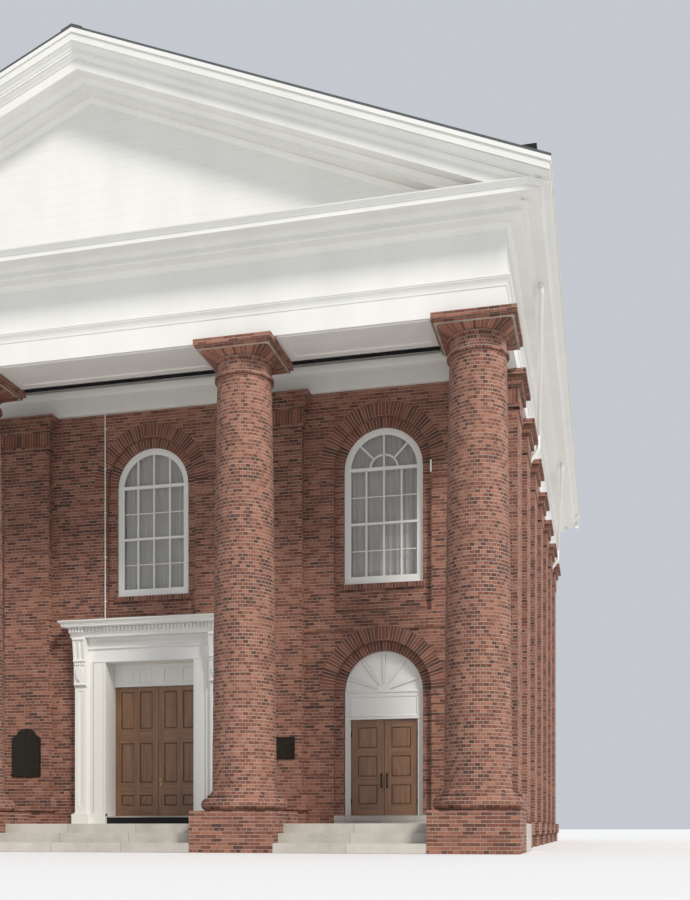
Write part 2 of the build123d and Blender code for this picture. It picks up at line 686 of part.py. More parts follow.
with BuildPart() as main_door_pilasters:
    for side in (-1, 1):
        x0, x1 = sorted((side * DOOR_PILASTER_X, side * SURROUND_HALF))
        block(x0, x1, WALL_Y - DOOR_PILASTER_OUT, WALL_Y, PORCH_Z, CONSOLE_TOP_Z)
        block(x0 - DOOR_FOOT_OUT, x1 + DOOR_FOOT_OUT,
              WALL_Y - DOOR_PILASTER_OUT - DOOR_FOOT_OUT, WALL_Y, PORCH_Z,
              PORCH_Z + DOOR_FOOT_H)
        strip_x0, strip_x1 = sorted((side * MAIN_CLEAR_HALF, side * DOOR_PILASTER_X))
        block(strip_x0, strip_x1, WALL_Y - ARCHITRAVE_OUT, WALL_Y, HALL_Z, MAIN_OPENING_Z)
        with BuildSketch(Plane.YZ.offset(x0)) as console:
            with BuildLine():
                front = WALL_Y - DOOR_PILASTER_OUT
                Polyline((front, CONSOLE_Z), (front - CONSOLE_FOOT_OUT, CONSOLE_Z),
                         (front - CONSOLE_WAIST_OUT, (CONSOLE_Z + CONSOLE_TOP_Z) / 2),
                         (front - CONSOLE_OUT, CONSOLE_TOP_Z), (front, CONSOLE_TOP_Z),
                         close=True)
            make_face()
        extrude(console.sketch, amount=DOOR_PILASTER_W)
save(main_door_pilasters, "main_door_pilasters")

with BuildPart() as main_door_head:
    block(-DOOR_PILASTER_X, DOOR_PILASTER_X, WALL_Y - ARCHITRAVE_OUT, WALL_Y,
          MAIN_OPENING_Z, CONSOLE_TOP_Z)
    shelves = (
        (DOOR_NECK_OUT, CONSOLE_TOP_Z, DOOR_FRIEZE_Z),
        (DOOR_DENTIL_OUT, DOOR_FRIEZE_Z, DOOR_CORNICE_Z),
        (DOOR_CORNICE_OUT, DOOR_CORNICE_Z, DOOR_CORNICE_TOP),
    )
    for out, z0, z1 in shelves:
        reach = SURROUND_HALF + out - DOOR_PILASTER_OUT
        block(-reach, reach, WALL_Y - out, WALL_Y, z0, z1)
save(main_door_head, "main_door_head")

with BuildPart() as main_door_frame:
    for side in (-1, 1):
        x0, x1 = sorted((side * MAIN_CLEAR_HALF, side * MAIN_OPENING_HALF))
        block(x0, x1, WALL_Y, HALL_Y, HALL_Z, MAIN_OPENING_Z)
save(main_door_frame, "main_door_frame")

with BuildPart() as main_door_overpanel:
    block(-MAIN_CLEAR_HALF, MAIN_CLEAR_HALF, HALL_Y - MAIN_PANEL_T, HALL_Y,
          MAIN_LEAF_TOP + FLOOR_GAP, MAIN_OPENING_Z)
save(main_door_overpanel, "main_door_overpanel")


# Door leaves, each hung on two knuckles that stand clear of its jamb
def leaf(hinge_x, towards, width, y0, y1, top, pin_y, bands, columns, stile):
    """A panelled leaf. towards is the way it reaches from its hinge, 1 or -1.

    bands are the panels' feet and heads as shares of the leaf's height.
    """
    edge = hinge_x - towards * (KNUCKLE_R + SEAT - LEAF_GAP)
    free = edge + towards * width
    x0, x1 = sorted((edge, free))
    block(x0, x1, y0, y1, DOOR_LEAF_Z, top)
    panel_w = (width - (columns + 1) * stile) / columns
    for foot, head in bands:
        z0 = DOOR_LEAF_Z + foot * (top - DOOR_LEAF_Z)
        z1 = DOOR_LEAF_Z + head * (top - DOOR_LEAF_Z)
        for i in range(columns):
            left = x0 + stile + i * (panel_w + stile)
            block(left, left + panel_w, y0, y0 + PANEL_SUNK, z0, z1, mode=Mode.SUBTRACT)
            block(left, left + panel_w, y1 - PANEL_SUNK, y1, z0, z1, mode=Mode.SUBTRACT)
    for middle in (DOOR_LEAF_Z + KNUCKLE_END, top - KNUCKLE_END):
        with Locations((hinge_x, pin_y, middle)):
            Cylinder(KNUCKLE_R, KNUCKLE_H)


MAIN_BANDS = ((0.08, 0.165), (0.259, 0.566), (0.676, 0.966))
SIDE_BANDS = ((0.113, 0.321), (0.406, 0.624), (0.707, 0.925))
MAIN_HINGE_X = MAIN_CLEAR_HALF - KNUCKLE_R - SEAT
MAIN_LEAF_W = MAIN_CLEAR_HALF - LEAF_GAP - MEETING_GAP / 2
MAIN_LEAF_Y = HALL_Y - MAIN_LEAF_T
SIDE_CLEAR_HALF = OPENING_R - SIDE_JAMB_W
SIDE_HINGE_HALF = SIDE_CLEAR_HALF - KNUCKLE_R - SEAT
SIDE_LEAF_W = SIDE_CLEAR_HALF - LEAF_GAP - MEETING_GAP / 2
SIDE_LEAF_Y = WALL_Y + SIDE_LEAF_SET

with BuildPart() as main_door_leaf_left:
    leaf(-MAIN_HINGE_X, 1, MAIN_LEAF_W, MAIN_LEAF_Y, HALL_Y, MAIN_LEAF_TOP, HALL_Y,
         MAIN_BANDS, 2, MAIN_STILE)
save(main_door_leaf_left, "main_door_leaf_left")

with BuildPart() as main_door_leaf_right:
    leaf(MAIN_HINGE_X, -1, MAIN_LEAF_W, MAIN_LEAF_Y, HALL_Y, MAIN_LEAF_TOP, HALL_Y,
         MAIN_BANDS, 2, MAIN_STILE)
save(main_door_leaf_right, "main_door_leaf_right")

with BuildPart() as right_door_leaf_left:
    leaf(BAY_X - SIDE_HINGE_HALF, 1, SIDE_LEAF_W, SIDE_LEAF_Y, SIDE_LEAF_Y + SIDE_LEAF_T,
         SIDE_LEAF_TOP, SIDE_LEAF_Y, SIDE_BANDS, 1, SIDE_STILE)
save(right_door_leaf_left, "right_door_leaf_left")

with BuildPart() as right_door_leaf_right:
    leaf(BAY_X + SIDE_HINGE_HALF, -1, SIDE_LEAF_W, SIDE_LEAF_Y, SIDE_LEAF_Y + SIDE_LEAF_T,
         SIDE_LEAF_TOP, SIDE_LEAF_Y, SIDE_BANDS, 1, SIDE_STILE)
save(right_door_leaf_right, "right_door_leaf_right")

with BuildPart() as left_door_leaves:
    mirror(right_door_leaf_left.part, about=Plane.YZ)
    mirror(right_door_leaf_right.part, about=Plane.YZ)
save(left_door_leaves, "left_door_leaves")

SIDE_FRAME_Y = SIDE_LEAF_Y - SIDE_FRAME_LEAD

with BuildPart() as side_door_jambs:
    for x in (-BAY_X, BAY_X):
        for side in (-1, 1):
            x0, x1 = sorted((x + side * SIDE_CLEAR_HALF, x + side * OPENING_R))
            block(x0, x1, SIDE_FRAME_Y, SIDE_FRAME_Y + SIDE_FRAME_D, HALL_Z,
                  SIDE_LEAF_TOP + FLOOR_GAP)
save(side_door_jambs, "side_door_jambs")

with BuildPart() as side_door_heads:
    for x in (-BAY_X, BAY_X):
        arch(x, OPENING_R, SIDE_LEAF_TOP + FLOOR_GAP, LOWER_SPRING_Z, SIDE_FRAME_Y,
             SIDE_FRAME_Y + SIDE_FRAME_D, mode=Mode.ADD)
save(side_door_heads, "side_door_heads")

# Downspouts, from the eaves' soffit past a pilaster's capital and down the wall
PIPE_WALL_X = WALL_X + PIPE_R + SEAT
PIPE_PASS_X = FACE_X + TAENIA_OUT + PIPE_R + PIPE_SET

with BuildPart() as downspouts:
    for i in (1, SIDE_BAYS - 1):
        low_y = (FIRST_PILASTER_Y + i * BAY_LENGTH + PILASTER_W / 2 + PILASTER_ABACUS_OUT
                 + PIPE_MARGIN)
        high_y = low_y - PIPE_RUN
        with BuildLine() as route:
            FilletPolyline((FACE_X + PIPE_OUT_X, high_y, BED_Z),
                           (FACE_X + PIPE_OUT_X, high_y, BED_Z - PIPE_DROP),
                           (PIPE_PASS_X, low_y, PIPE_PASS_Z),
                           (PIPE_PASS_X, low_y, PIPE_KNEE_Z),
                           (PIPE_WALL_X, low_y, PIPE_WALL_Z),
                           (PIPE_WALL_X, low_y, PIPE_FOOT_Z), radius=PIPE_BEND_R)
        with BuildSketch(Plane(origin=route.line @ 0, z_dir=route.line % 0)) as bore:
            Circle(PIPE_R)
        sweep(bore.sketch, path=route.line)
    mirror(about=Plane.YZ)
save(downspouts, "downspouts")
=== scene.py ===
"""A brick church with a columned porch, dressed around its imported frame."""

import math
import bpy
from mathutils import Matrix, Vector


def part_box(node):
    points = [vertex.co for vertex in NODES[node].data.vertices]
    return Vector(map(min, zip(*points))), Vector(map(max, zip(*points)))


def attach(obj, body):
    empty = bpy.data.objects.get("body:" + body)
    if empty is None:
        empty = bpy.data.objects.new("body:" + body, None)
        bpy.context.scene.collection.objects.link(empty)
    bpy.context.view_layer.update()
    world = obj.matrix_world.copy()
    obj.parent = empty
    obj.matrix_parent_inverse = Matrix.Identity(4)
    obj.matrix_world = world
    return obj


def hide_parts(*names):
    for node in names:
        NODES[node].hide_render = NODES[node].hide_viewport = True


bl_info = {
    "name": "Brick church",
    "version": (1, 0, 0),
    "blender": (4, 5, 0),
    "location": "3D View > Sidebar > Church",
    "description": "Dresses the frame of a brick church with masonry, joinery and a stage",
    "category": "Add Mesh",
}

import bmesh
import bpy
from bpy.props import FloatProperty, FloatVectorProperty, IntProperty, PointerProperty
from mathutils import Matrix, Vector

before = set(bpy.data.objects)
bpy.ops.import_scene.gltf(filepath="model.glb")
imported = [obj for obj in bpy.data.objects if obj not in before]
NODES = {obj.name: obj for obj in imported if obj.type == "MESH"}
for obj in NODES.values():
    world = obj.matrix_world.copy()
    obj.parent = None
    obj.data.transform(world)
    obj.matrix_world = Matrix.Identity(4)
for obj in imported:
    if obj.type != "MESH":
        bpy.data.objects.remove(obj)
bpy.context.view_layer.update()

# Measures that the frame's boxes don't give
OPENING_R, RECESS_R, SIDE_OPENING_R = 0.86, 1.06, 0.5
COLUMN_STEP, SIDE_BAY = 4.6, 2.79
CORNER_PILASTER_X, PILASTER_DEPTH = 7.6, 0.15
MAIN_DOOR_HALF = 1.058
LEAF_CLEARANCE = 0.0047
GLASS_HALF = 0.006
ARCHITRAVE_DEPTH = 0.06
ROOF_EDGE = 0.1245
BRICK_HEIGHT = 0.0692

# Places read from the frame
base_low, base_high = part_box("front_wall_base")
WALL_X, WALL_Y, PORCH_Z = base_high.x, base_low.y, base_high.z
PILASTER_Y = WALL_Y - PILASTER_DEPTH
REAR_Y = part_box("rear_wall")[1].y
FACE_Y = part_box("tympanums")[0].y
FACE_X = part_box("entablature_front")[1].x - ARCHITRAVE_DEPTH
CAPITAL_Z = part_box("right_wall")[1].z
HALL_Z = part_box("ground_floor")[1].z
CEILING_Z, BEAM_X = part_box("porch_ceiling")[0].z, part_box("porch_ceiling")[1].x
shaft_low, shaft_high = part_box("column_shafts")
COLUMN_Y = (shaft_low.y + shaft_high.y) / 2
SHAFT_FOOT_R = (shaft_high.y - shaft_low.y) / 2
OUTER_COLUMN_X = shaft_high.x - SHAFT_FOOT_R
INNER_COLUMN_X = OUTER_COLUMN_X - COLUMN_STEP
LEAF_BACK_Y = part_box("main_door_leaf_left")[1].y
HEAD_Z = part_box("main_door_frame")[1].z
HEAD_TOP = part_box("main_door_head")[1].z
BAY_X = (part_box("right_door_leaf_left")[0].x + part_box("right_door_leaf_right")[1].x) / 2
ROOF_LOW, ROOF_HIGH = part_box("roof_slope_right")
SLOPE = (ROOF_HIGH.z - ROOF_LOW.z - ROOF_EDGE) / ROOF_HIGH.x
UPPER_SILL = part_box("window_frames_upper")[0].z
UPPER_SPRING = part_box("window_frames_upper")[1].z - OPENING_R
LOWER_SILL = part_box("window_frames_lower")[0].z
LOWER_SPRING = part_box("window_frames_lower")[1].z - OPENING_R
glass_low, glass_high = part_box("window_glass_upper")
FRONT_GLASS = glass_low.y + GLASS_HALF - WALL_Y
REAR_GLASS = REAR_Y - glass_high.y + GLASS_HALF
SIDE_GLASS = WALL_X - glass_high.x + GLASS_HALF
SIDE_WINDOWS_Y = [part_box("window_frames_lower")[0].y + SIDE_OPENING_R + SIDE_BAY * i
                  for i in range(6)]


def colour_property(name, description, colour):
    """A colour that the sidebar shows."""
    return FloatVectorProperty(name=name, description=description, default=colour, size=3,
                               subtype="COLOR", min=0, max=1)


def length_property(name, description, metres):
    """A length that the sidebar shows."""
    return FloatProperty(name=name, description=description, default=metres, min=0,
                         unit="LENGTH", precision=3)


class ChurchColours(bpy.types.PropertyGroup):
    """Colours of the church's finishes."""

    brick_dark: colour_property("Dark brick", "Darkest bricks", (0.085, 0.032, 0.022))
    brick: colour_property("Brick", "Usual bricks", (0.2, 0.068, 0.042))
    brick_pale: colour_property("Pale brick", "Palest bricks", (0.33, 0.135, 0.085))
    mortar: colour_property("Mortar", "Joints between bricks", (0.44, 0.395, 0.33))
    paint: colour_property("White paint", "Painted joinery", (0.78, 0.77, 0.73))
    door: colour_property("Door", "Varnished door wood", (0.21, 0.105, 0.052))
    stone: colour_property("Stone", "Steps and porch floor", (0.48, 0.45, 0.4))
    slate: colour_property("Slate", "Roof slates", (0.075, 0.08, 0.088))
    bronze: colour_property("Bronze", "Plaques", (0.035, 0.028, 0.02))
    curtain: colour_property("Curtain", "Window curtains", (0.8, 0.78, 0.73))
    floor: colour_property("Stage floor", "Floor under the church", (0.8, 0.8, 0.8))


class ChurchSizes(bpy.types.PropertyGroup):
    """Sizes of what dresses the frame."""

    course: length_property("Course", "Height of a brick course with its joint", BRICK_HEIGHT)
    brick_length: length_property("Brick length", "Length of a brick with its joint", 0.218)
    joint: length_property("Joint", "Width of a mortar joint", 0.011)
    bar: length_property("Window bar", "Width of an upright glazing bar", 0.036)
    bar_depth: length_property("Bar depth", "Depth of a glazing bar", 0.035)
    dentil: length_property("Dentil", "Width of a dentil over the main door", 0.045)
    slate_length: length_property("Slate exposure", "Visible length of a slate", 0.25)
    slate_width: length_property("Slate width", "Width of a slate", 0.3)
    board: length_property("Board", "Width of a gable board", 0.19)
    mould: length_property("Panel mould", "Width of a door panel's moulding", 0.022)
    random_seed: IntProperty(name="Seed", description="Seed of all random draws", default=7)


def colours_now():
    """The colours set in the sidebar."""
    return bpy.context.scene.church_colours


def sizes_now():
    """The sizes set in the sidebar."""
    return bpy.context.scene.church_sizes


class Wiring:
    """A node tree while it is wired."""

    def wire(self, node, inputs):
        """Sets a node's inputs to values or sockets, by name or by number."""
        for key, value in inputs.items():
            if isinstance(value, bpy.types.NodeSocket):
                self.tree.links.new(value, node.inputs[key])
            else:
                node.inputs[key].default_value = value

    def node(self, kind, inputs=None, **settings):
        """Adds a node with its settings and inputs."""
        made = self.tree.nodes.new(kind)
        for key, value in settings.items():
            setattr(made, key, value)
        self.wire(made, inputs or {})
        return made

    def math(self, operation, *values):
        """A maths node's output."""
        return self.node("ShaderNodeMath", dict(enumerate(values)),
                         operation=operation).outputs[0]

    def scaled(self, value, factor, *added):
        """A value times a factor, plus what is added."""
        return self.math("MULTIPLY_ADD" if added else "MULTIPLY", value, factor, *added)

    def vector(self, operation, *values):
        """A vector maths node's output."""
        return self.node("ShaderNodeVectorMath", dict(enumerate(values)),
                         operation=operation).outputs[0]

    def split(self, vector):
        """A vector's three parts."""
        return self.node("ShaderNodeSeparateXYZ", {0: vector}).outputs

    def joined(self, x=0.0, y=0.0):
        """A vector from two parts, level in Z."""
        return self.node("ShaderNodeCombineXYZ", {0: x, 1: y}).outputs[0]


# Materials


class Finish(Wiring):
    """One procedural material while its nodes are wired."""

    def __init__(self, name, roughness, metallic=0.0):
        self.material = bpy.data.materials.new(name)
        self.material.use_nodes = True
        self.tree = self.material.node_tree
        self.surface = self.tree.nodes["Principled BSDF"]
        self.wire(self.surface, {"Roughness": roughness, "Metallic": metallic})
        self.place = self.node("ShaderNodeTexCoord").outputs["Object"]

    def noise(self, scale, detail=4.0, vector=None):
        """Soft noise from 0 to 1."""
        return self.node("ShaderNodeTexNoise", {"Vector": vector or self.place, "Scale": scale,
                                                "Detail": detail}).outputs["Fac"]

    def stretched(self, x, y, z):
        """The object's place, scaled along each axis."""
        return self.node("ShaderNodeMapping", {"Vector": self.place,
                                               "Scale": (x, y, z)}).outputs[0]

    def own_tone(self):
        """A random value for each loose part of the mesh."""
        return self.node("ShaderNodeNewGeometry").outputs["Random Per Island"]

    def bricks(self, vector, joint, width, row, mortar=0.5, smooth=0.1, **settings):
        """A brick pattern's outputs: a grey of its own for each brick, and the joints."""
        return self.node("ShaderNodeTexBrick", {
            "Vector": vector, "Color1": (0, 0, 0, 1), "Color2": (1, 1, 1, 1),
            "Mortar": (mortar, mortar, mortar, 1), "Scale": 1.0, "Mortar Size": joint,
            "Mortar Smooth": smooth, "Brick Width": width, "Row Height": row},
            **settings).outputs

    def ramp(self, factor, *stops):
        """A colour ramp over (position, colour) stops."""
        ramp = self.node("ShaderNodeValToRGB", {"Fac": factor})
        elements = ramp.color_ramp.elements
        while len(elements) < len(stops):
            elements.new(0.5)
        for element, (position, colour) in zip(elements, stops):
            element.position = position
            element.color = (*colour, 1)
        return ramp.outputs[0]

    def either(self, factor, low, high):
        """One of two values, or a share of both."""
        return self.node("ShaderNodeMix", {0: factor, 2: low, 3: high}).outputs[0]

    def mix(self, factor, low, high):
        """A blend of a colour socket with another or with a plain colour."""
        if not isinstance(high, bpy.types.NodeSocket):
            high = (*high, 1)
        return self.node("ShaderNodeMix", {0: factor, 6: low, 7: high},
                         data_type="RGBA").outputs[2]

    def colour(self, value):
        """Wires a colour to the surface."""
        self.wire(self.surface, {"Base Color": value})

    def bump(self, height, distance, strength=1.0):
        """Wires a height to the surface's normal."""
        made = self.node("ShaderNodeBump", {"Height": height, "Distance": distance,
                                            "Strength": strength})
        self.wire(self.surface, {"Normal": made.outputs[0]})


def shade(colour, factor):
    """A colour made lighter or darker."""
    return tuple(min(1.0, channel * factor) for channel in colour)


def flat_layout(finish):
    """Bricks along a flat wall and up it, whichever way the wall faces."""
    place = finish.split(finish.place)
    normal = finish.split(finish.node("ShaderNodeNewGeometry").outputs["True Normal"])
    faces_x, faces_z = (finish.math("GREATER_THAN", finish.math("ABSOLUTE", normal[axis]), 0.7)
                        for axis in (0, 2))
    flat = finish.joined(finish.either(faces_x, place[0], place[1]),
                         finish.either(faces_z, place[2], place[1]))
    return flat, sizes_now().brick_length, sizes_now().course


def round_layout(finish):
    """Header bricks round the nearest column and up it."""
    place = finish.split(finish.place)
    reach = finish.math("ABSOLUTE", place[0])
    outer = finish.math("GREATER_THAN", reach, OUTER_COLUMN_X - COLUMN_STEP / 2)
    centre = finish.scaled(outer, COLUMN_STEP, INNER_COLUMN_X)
    angle = finish.math("ARCTAN2", finish.math("SUBTRACT", place[1], COLUMN_Y),
                        finish.math("SUBTRACT", reach, centre))
    bent = finish.joined(finish.scaled(angle, SHAFT_FOOT_R), place[2])
    return bent, sizes_now().brick_length / 2, sizes_now().course


def capital_layout(finish):
    """Upright bricks round a capital's flare, and headers on its square top."""
    course = sizes_now().course
    flare_z, top_z = CAPITAL_Z - 0.29, CAPITAL_Z - 0.18
    up = finish.split(finish.place)[2]
    on_flare = finish.math("GREATER_THAN", up, flare_z)
    on_top = finish.math("GREATER_THAN", up, top_z)
    bent, flat = round_layout(finish)[0], flat_layout(finish)[0]
    chosen = finish.node("ShaderNodeMix", {0: on_top, 4: bent, 5: flat},
                         data_type="VECTOR").outputs[1]
    lift = finish.scaled(on_top, top_z - flare_z, finish.scaled(on_flare, flare_z))
    moved = finish.vector("SUBTRACT", chosen, finish.joined(y=lift))
    upright, header, top_row = 0.07, 0.21, 0.06
    width = finish.scaled(on_top, header - upright, upright)
    row = finish.scaled(on_flare, top_z - flare_z - course, course)
    return moved, width, finish.scaled(on_top, flare_z + top_row - top_z, row)


def brickwork(name, layout, header_rows=2, squash=1.0):
    """Bricks of many tones in worn mortar, along a wall or round a column.

    Upright joints are narrower than level ones, by the factor tight.
    """
    colours = colours_now()
    finish = Finish(name, 0.88)
    vector, width, row = layout(finish)
    wobble = finish.node("ShaderNodeTexNoise", {"Vector": finish.place, "Scale": 9.0})
    bent = finish.vector("SUBTRACT", wobble.outputs["Color"], (0.5, 0.5, 0.5))
    moved = finish.vector("MULTIPLY_ADD", bent, (0.006, 0.006, 0.006), vector)
    tight = 1.6
    bricks = finish.bricks(finish.vector("MULTIPLY", moved, (tight, 1, 1)),
                           sizes_now().joint / 2, finish.scaled(width, tight), row, smooth=0.2,
                           offset=0.5, squash=squash, squash_frequency=header_rows)
    stain = finish.noise(0.35, 5.0)
    grain = finish.noise(60.0, 3.0)
    tone = finish.scaled(finish.math("SUBTRACT", grain, 0.5), 0.35, bricks["Color"])
    tone = finish.scaled(finish.math("SUBTRACT", stain, 0.5), 0.5, tone)
    clay = finish.ramp(tone, (0.0, colours.brick_dark), (0.16, shade(colours.brick, 0.75)),
                       (0.45, colours.brick), (0.8, shade(colours.brick_pale, 0.85)),
                       (1.0, colours.brick_pale))
    mortar = finish.ramp(finish.noise(3.0, 6.0), (0.3, shade(colours.mortar, 0.62)),
                         (0.7, colours.mortar))
    finish.colour(finish.mix(bricks["Fac"], clay, mortar))
    finish.bump(finish.scaled(grain, 0.25, finish.math("SUBTRACT", 1.0, bricks["Fac"])),
                0.006, 0.8)
    return finish.material


def loose_brick(name):
    """Bricks that are pieces of their own, each with its own tone."""
    colours = colours_now()
    finish = Finish(name, 0.88)
    own = finish.own_tone()
    grain = finish.noise(55.0, 3.0)
    tone = finish.scaled(finish.math("SUBTRACT", grain, 0.5), 0.4, own)
    finish.colour(finish.ramp(tone, (0.0, colours.brick_dark), (0.35, shade(colours.brick, 0.8)),
                              (0.7, colours.brick), (1.0, shade(colours.brick_pale, 0.85))))
    finish.bump(grain, 0.003, 0.6)
    return finish.material


def mortar_bed(name):
    """The mortar that shows between separate bricks."""
    mortar = colours_now().mortar
    finish = Finish(name, 0.95)
    finish.colour(finish.ramp(finish.noise(4.0, 6.0), (0.3, shade(mortar, 0.6)), (0.7, mortar)))
    finish.bump(finish.noise(90.0), 0.002)
    return finish.material


def white_paint(name, groove=0.0, depth=1.0):
    """Oil paint on wood, chalky and streaked. A groove is the width of its boards. A depth below
    one darkens the paint, used for painted shade.
    """
    paint = shade(colours_now().paint, depth)
    finish = Finish(name, 0.5)
    streaks = finish.noise(1.6, 6.0, finish.stretched(1.0, 1.0, 0.25))
    grain = finish.noise(30.0, 4.0, finish.stretched(0.15, 0.15, 1.0))
    white = finish.ramp(streaks, (0.25, shade(paint, 0.95)), (0.6, paint),
                        (1.0, shade(paint, 1.03)))
    height = grain
    if groove:
        up = finish.split(finish.place)[2]
        gap = finish.math("LESS_THAN", finish.math("FRACT", finish.math("DIVIDE", up, groove)),
                          0.025)
        white = finish.mix(gap, white, shade(paint, 0.84))
        height = finish.math("SUBTRACT", grain, finish.scaled(gap, 1.2))
    finish.colour(white)
    finish.wire(finish.surface, {"Roughness": finish.scaled(streaks, 0.25, 0.35)})
    finish.bump(height, 0.0015, 0.5)
    return finish.material


def door_wood(name, upright=True, depth=1.0):
    """Varnished wood with its grain along the board. A lower depth is darker: painted shade, as
    in the sunk door mouldings.
    """
    door = shade(colours_now().door, depth)
    finish = Finish(name, 0.35)
    along = (9.0, 9.0, 0.55) if upright else (0.55, 9.0, 9.0)
    fibre = finish.noise(2.6, 8.0, finish.stretched(*along))
    fine = finish.noise(14.0, 4.0, finish.stretched(*along))
    tone = finish.scaled(fine, 0.35, finish.scaled(fibre, 0.7))
    finish.colour(finish.ramp(tone, (0.3, shade(door, 0.6)), (0.5, door),
                              (0.72, shade(door, 1.4))))
    finish.wire(finish.surface, {"Roughness": finish.scaled(fibre, 0.3, 0.22),
                                 "Coat Weight": 0.25, "Coat Roughness": 0.2})
    finish.bump(tone, 0.0008, 0.6)
    return finish.material


def cut_stone(name):
    """Pale worn stone with a joint every slab."""
    stone = colours_now().stone
    finish = Finish(name, 0.8)
    slabs = finish.bricks(flat_layout(finish)[0], 0.004, 1.5, 0.62, offset=0.5)
    blotch = finish.noise(2.2, 8.0)
    speck = finish.noise(120.0, 2.0)
    tone = finish.scaled(slabs["Color"], 0.25,
                         finish.scaled(speck, 0.25, finish.scaled(blotch, 0.6)))
    face = finish.ramp(tone, (0.25, shade(stone, 0.68)), (0.5, stone),
                       (0.85, shade(stone, 1.3)))
    finish.colour(finish.mix(slabs["Fac"], face, shade(stone, 0.4)))
    finish.bump(finish.math("SUBTRACT", finish.scaled(speck, 0.3), slabs["Fac"]), 0.003, 0.7)
    return finish.material


def roof_slate(name, edge=0.0):
    """Dark slates, each with its own tone. Below the edge's depth the boards are painted."""
    colours = colours_now()
    finish = Finish(name, 0.62)
    own = finish.own_tone()
    cleft = finish.noise(16.0, 8.0)
    tone = finish.scaled(cleft, 0.35, finish.scaled(own, 0.65))
    slate = finish.ramp(tone, (0.2, shade(colours.slate, 0.55)), (0.55, colours.slate),
                        (0.9, shade(colours.slate, 1.8)))
    if edge:
        place = finish.split(finish.place)
        top = finish.scaled(finish.math("ABSOLUTE", place[0]), -SLOPE, ROOF_HIGH.z)
        below = finish.math("GREATER_THAN", finish.math("SUBTRACT", top, place[2]), edge)
        slate = finish.mix(below, slate, colours.paint)
    finish.colour(slate)
    finish.bump(cleft, 0.004, 0.7)
    return finish.material


def window_glass(name):
    """Old window glass that shows a little of what lies behind it."""
    finish = Finish(name, 0.05)
    ripple = finish.noise(2.5, 2.0)
    finish.colour(finish.ramp(ripple, (0.3, (0.1, 0.11, 0.115)), (0.7, (0.16, 0.17, 0.18))))
    finish.wire(finish.surface, {"Alpha": 0.2, "Specular IOR Level": 0.7})
    finish.bump(ripple, 0.006, 0.25)
    return finish.material


def cloth(name):
    """Thin woven curtain cloth."""
    curtain = colours_now().curtain
    finish = Finish(name, 0.95)
    finish.colour(finish.ramp(finish.noise(1.2), (0.3, shade(curtain, 0.85)), (0.7, curtain)))
    finish.wire(finish.surface, {"Sheen Weight": 0.3})
    finish.bump(finish.noise(400.0, 2.0), 0.0005, 0.5)
    return finish.material


def cast_metal(name, colour, metallic, roughness, grain):
    """Cast or forged metal with a slightly uneven skin."""
    finish = Finish(name, roughness, metallic)
    patches = finish.noise(18.0, 6.0)
    finish.colour(finish.ramp(patches, (0.3, shade(colour, 0.7)), (0.7, shade(colour, 1.25))))
    finish.wire(finish.surface, {"Roughness": finish.scaled(patches, 0.3, roughness - 0.12)})
    finish.bump(finish.noise(90.0), grain, 0.6)
    return finish.material


def floor_boards(name):
    """Plain wide floorboards, waxed."""
    finish = Finish(name, 0.45)
    boards = finish.bricks(finish.place, 0.003, 3.6, 0.14, mortar=0, offset=0.37)
    fibre = finish.noise(4.0, 6.0, finish.stretched(0.3, 8.0, 1.0))
    tone = finish.scaled(boards["Color"], 0.4, finish.scaled(fibre, 0.6))
    wood = finish.ramp(tone, (0.2, (0.12, 0.07, 0.035)), (0.8, (0.3, 0.19, 0.1)))
    finish.colour(finish.mix(boards["Fac"], wood, (0.03, 0.02, 0.01)))
    finish.bump(finish.math("SUBTRACT", fibre, boards["Fac"]), 0.002, 0.5)
    return finish.material


def plaster(name):
    """Soft white plaster."""
    finish = Finish(name, 0.9)
    finish.colour(finish.ramp(finish.noise(0.8, 5.0), (0.3, (0.66, 0.64, 0.6)),
                              (0.7, (0.74, 0.73, 0.69))))
    finish.bump(finish.noise(25.0), 0.002, 0.4)
    return finish.material


MATERIALS = {}


def make_materials():
    """Makes every finish once, by the name that the pieces use."""
    MATERIALS.update({
        "brick": brickwork("wall_brick", flat_layout, 6, 0.5),
        "round_brick": brickwork("column_brick", round_layout),
        "capital_brick": brickwork("capital_brick", capital_layout),
        "loose_brick": loose_brick("arch_brick"),
        "mortar": mortar_bed("mortar_bed"),
        "paint": white_paint("white_paint"),
        "boards": white_paint("painted_boards", sizes_now().board),
        "door": door_wood("door_wood_upright"),
        "door_rail": door_wood("door_wood_level", upright=False),
        # Darker wood for the panel mouldings: painted shade in their sunk hollows
        "door_mould_painted_shade": door_wood("door_wood_painted_shade", depth=0.42),
        "paint_shade_strip": white_paint("paint_painted_shade", depth=0.5),
        # Darkened paint for the strips beside the sunburst's ribs: painted shade
        "stone": cut_stone("cut_stone"),
        "slate": roof_slate("roof_slate"),
        "roof_boards": roof_slate("roof_boards", 0.045),
        "glass": window_glass("window_glass"),
        "curtain": cloth("curtain_cloth"),
        "bronze": cast_metal("plaque_bronze", colours_now().bronze, 0.7, 0.45, 0.002),
        "iron": cast_metal("black_iron", (0.02, 0.02, 0.022), 0.6, 0.5, 0.001),
        "brass": cast_metal("old_brass", (0.55, 0.4, 0.16), 1.0, 0.35, 0.0005),
        "floor_boards": floor_boards("floor_boards"),
        "plaster": plaster("ceiling_plaster"),
    })


